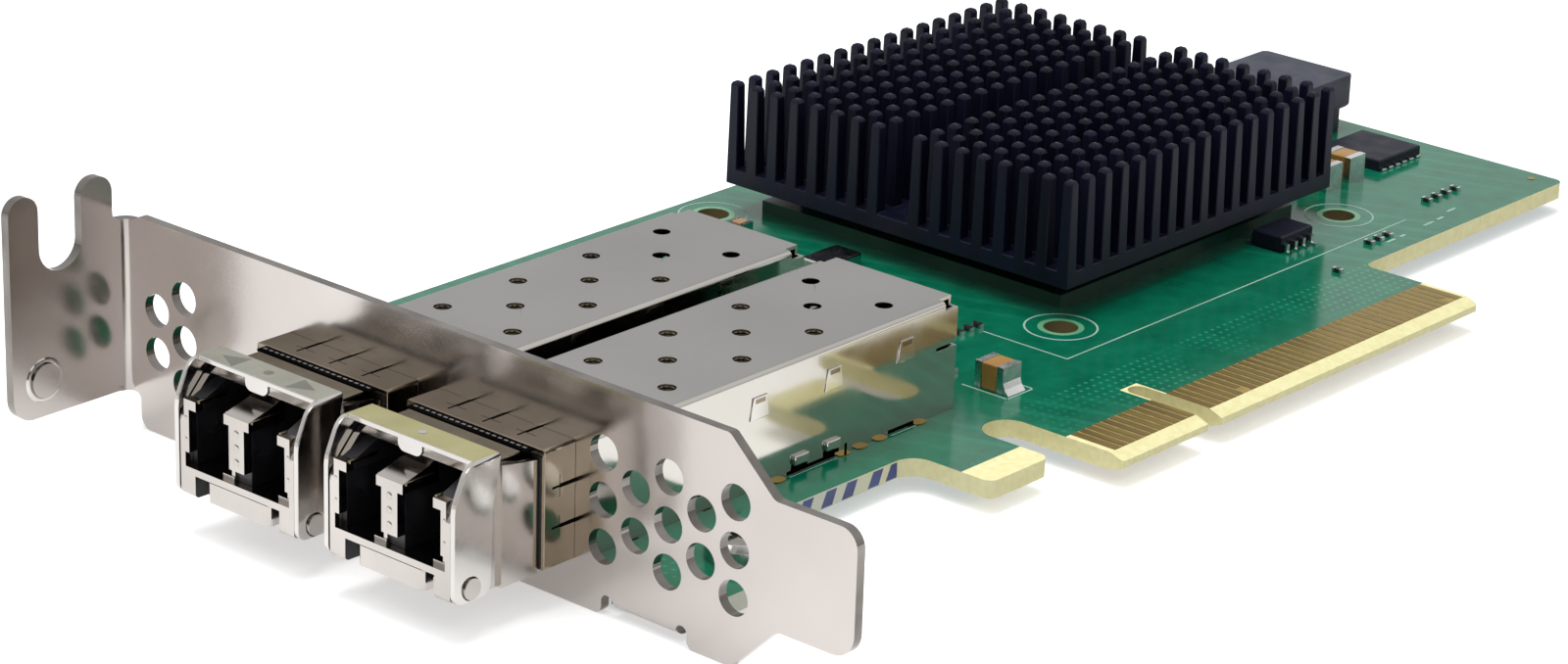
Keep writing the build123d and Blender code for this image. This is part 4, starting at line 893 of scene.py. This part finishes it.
def pale_floor(level):
    """A pale floor that takes shadows and glows a little for the camera and in mirrors."""
    bm = bmesh.new()
    bmesh.ops.create_grid(bm, x_segments=1, y_segments=1, size=FLOOR_HALF,
                          matrix=Matrix.Translation((0, 0, level)))
    bmesh.ops.scale(bm, vec=(MM, MM, MM), verts=bm.verts)
    mesh = bpy.data.meshes.new("floor")
    bm.to_mesh(mesh)
    bm.free()
    floor = bpy.data.objects.new("floor", mesh)
    bpy.context.scene.collection.objects.link(floor)
    material = bpy.data.materials.new("floor_pale")
    material.use_nodes = True
    nodes = Nodes(material.node_tree)
    nodes.tree.nodes.clear()
    rays = nodes.add("ShaderNodeLightPath").outputs
    mirrored = nodes.maths("MAXIMUM", rays["Is Glossy Ray"], rays["Is Transmission Ray"])
    seen = nodes.maths("MAXIMUM", rays["Is Camera Ray"], mirrored)
    plain = nodes.add("ShaderNodeBsdfDiffuse", Color=FLOOR_TONE)
    glow = nodes.add("ShaderNodeEmission")
    nodes.link(nodes.maths("MULTIPLY", seen, FLOOR_GLOW), glow.inputs["Strength"])
    both = nodes.add("ShaderNodeAddShader")
    nodes.link(plain.outputs["BSDF"], both.inputs[0])
    nodes.link(glow.outputs["Emission"], both.inputs[1])
    out = nodes.add("ShaderNodeOutputMaterial")
    nodes.link(both.outputs["Shader"], out.inputs["Surface"])
    mesh.materials.append(material)


def studio_world():
    """White to the camera, a soft room to gloss, and an even fill for the rest."""
    world = bpy.data.worlds.new("studio")
    bpy.context.scene.world = world
    world.use_nodes = True
    nodes = Nodes(world.node_tree)
    nodes.tree.nodes.clear()
    rays = nodes.add("ShaderNodeLightPath").outputs
    place = nodes.add("ShaderNodeTexCoord").outputs["Generated"]
    split = nodes.add("ShaderNodeSeparateXYZ")
    nodes.link(place, split.inputs["Vector"])
    rise = split.outputs["Z"]

    seen = nodes.add("ShaderNodeBackground", Color=(1, 1, 1, 1), Strength=1.0)
    fill = nodes.add("ShaderNodeBackground", Strength=FILL)
    sky = nodes.ramp(rise, [(0.4, (0.03, 0.03, 0.04)), (0.9, (0.98, 0.99, 1))])
    nodes.link(sky, fill.inputs["Color"])
    room = nodes.add("ShaderNodeBackground")
    walls = nodes.ramp(rise, [(0.0, (0.72, 0.70, 0.69)), (0.5, (1, 1, 1))])
    nodes.link(walls, room.inputs["Color"])
    toward = nodes.add("ShaderNodeVectorMath", operation="DOT_PRODUCT")
    toward.inputs[1].default_value = DIM_SIDE
    nodes.link(place, toward.inputs[0])
    nodes.link(nodes.span(toward.outputs["Value"], 0.45, 0.75, 0.95, 0.12),
               room.inputs["Strength"])

    gloss = nodes.blend(rays["Is Glossy Ray"], fill.outputs["Background"],
                        room.outputs["Background"])
    direct = nodes.maths("MAXIMUM", rays["Is Camera Ray"], rays["Is Transmission Ray"])
    out = nodes.add("ShaderNodeOutputWorld")
    nodes.link(nodes.blend(direct, gloss, seen.outputs["Background"]), out.inputs["Surface"])


def soft_light(name, where, target, size, power, colour, shows):
    lamp = bpy.data.lights.new(name, "AREA")
    lamp.shape = "RECTANGLE"
    lamp.size, lamp.size_y = (side * MM for side in size)
    lamp.energy = power
    lamp.color = colour
    holder = bpy.data.objects.new(name, lamp)
    bpy.context.scene.collection.objects.link(holder)
    spot = Vector(where) * MM
    aim = (Vector(target) * MM - spot).to_track_quat("-Z", "Y")
    holder.matrix_world = Matrix.Translation(spot) @ aim.to_matrix().to_4x4()
    holder.visible_glossy = shows


def photo_camera():
    back = Vector((math.sin(AZIMUTH) * math.cos(ELEVATION),
                   -math.cos(AZIMUTH) * math.cos(ELEVATION), math.sin(ELEVATION)))
    right = Vector((math.cos(AZIMUTH), math.sin(AZIMUTH), 0))
    up = back.cross(right)
    side = right * math.cos(ROLL) + up * math.sin(ROLL)
    top = up * math.cos(ROLL) - right * math.sin(ROLL)
    data = bpy.data.cameras.new("camera")
    data.sensor_width = SENSOR
    data.lens = LENS
    data.clip_start = 0.01
    data.clip_end = 20.0
    camera = bpy.data.objects.new("camera", data)
    bpy.context.scene.collection.objects.link(camera)
    turn = Matrix((side, top, back)).transposed().to_4x4()
    camera.matrix_world = Matrix.Translation(Vector(CAMERA_AT) * MM) @ turn
    bpy.context.scene.camera = camera


def studio():
    pale_floor(cad_low.z / MM - FLOOR_DROP)
    studio_world()
    for lamp in LAMPS:
        soft_light(*lamp)
    photo_camera()
    bpy.context.scene.view_settings.view_transform = "Standard"


dress_board()
board_print()
foot_pads()
edge_stripes()
dress_bracket()
dress_ports()
for side, centre in PORTS.items():
    port_trim(side, centre)
    collar_trim(side, centre)
    cage_tabs(side, centre)
    cage_latches(side, centre)
    label_marks(side, centre)
dress_parts()
studio()
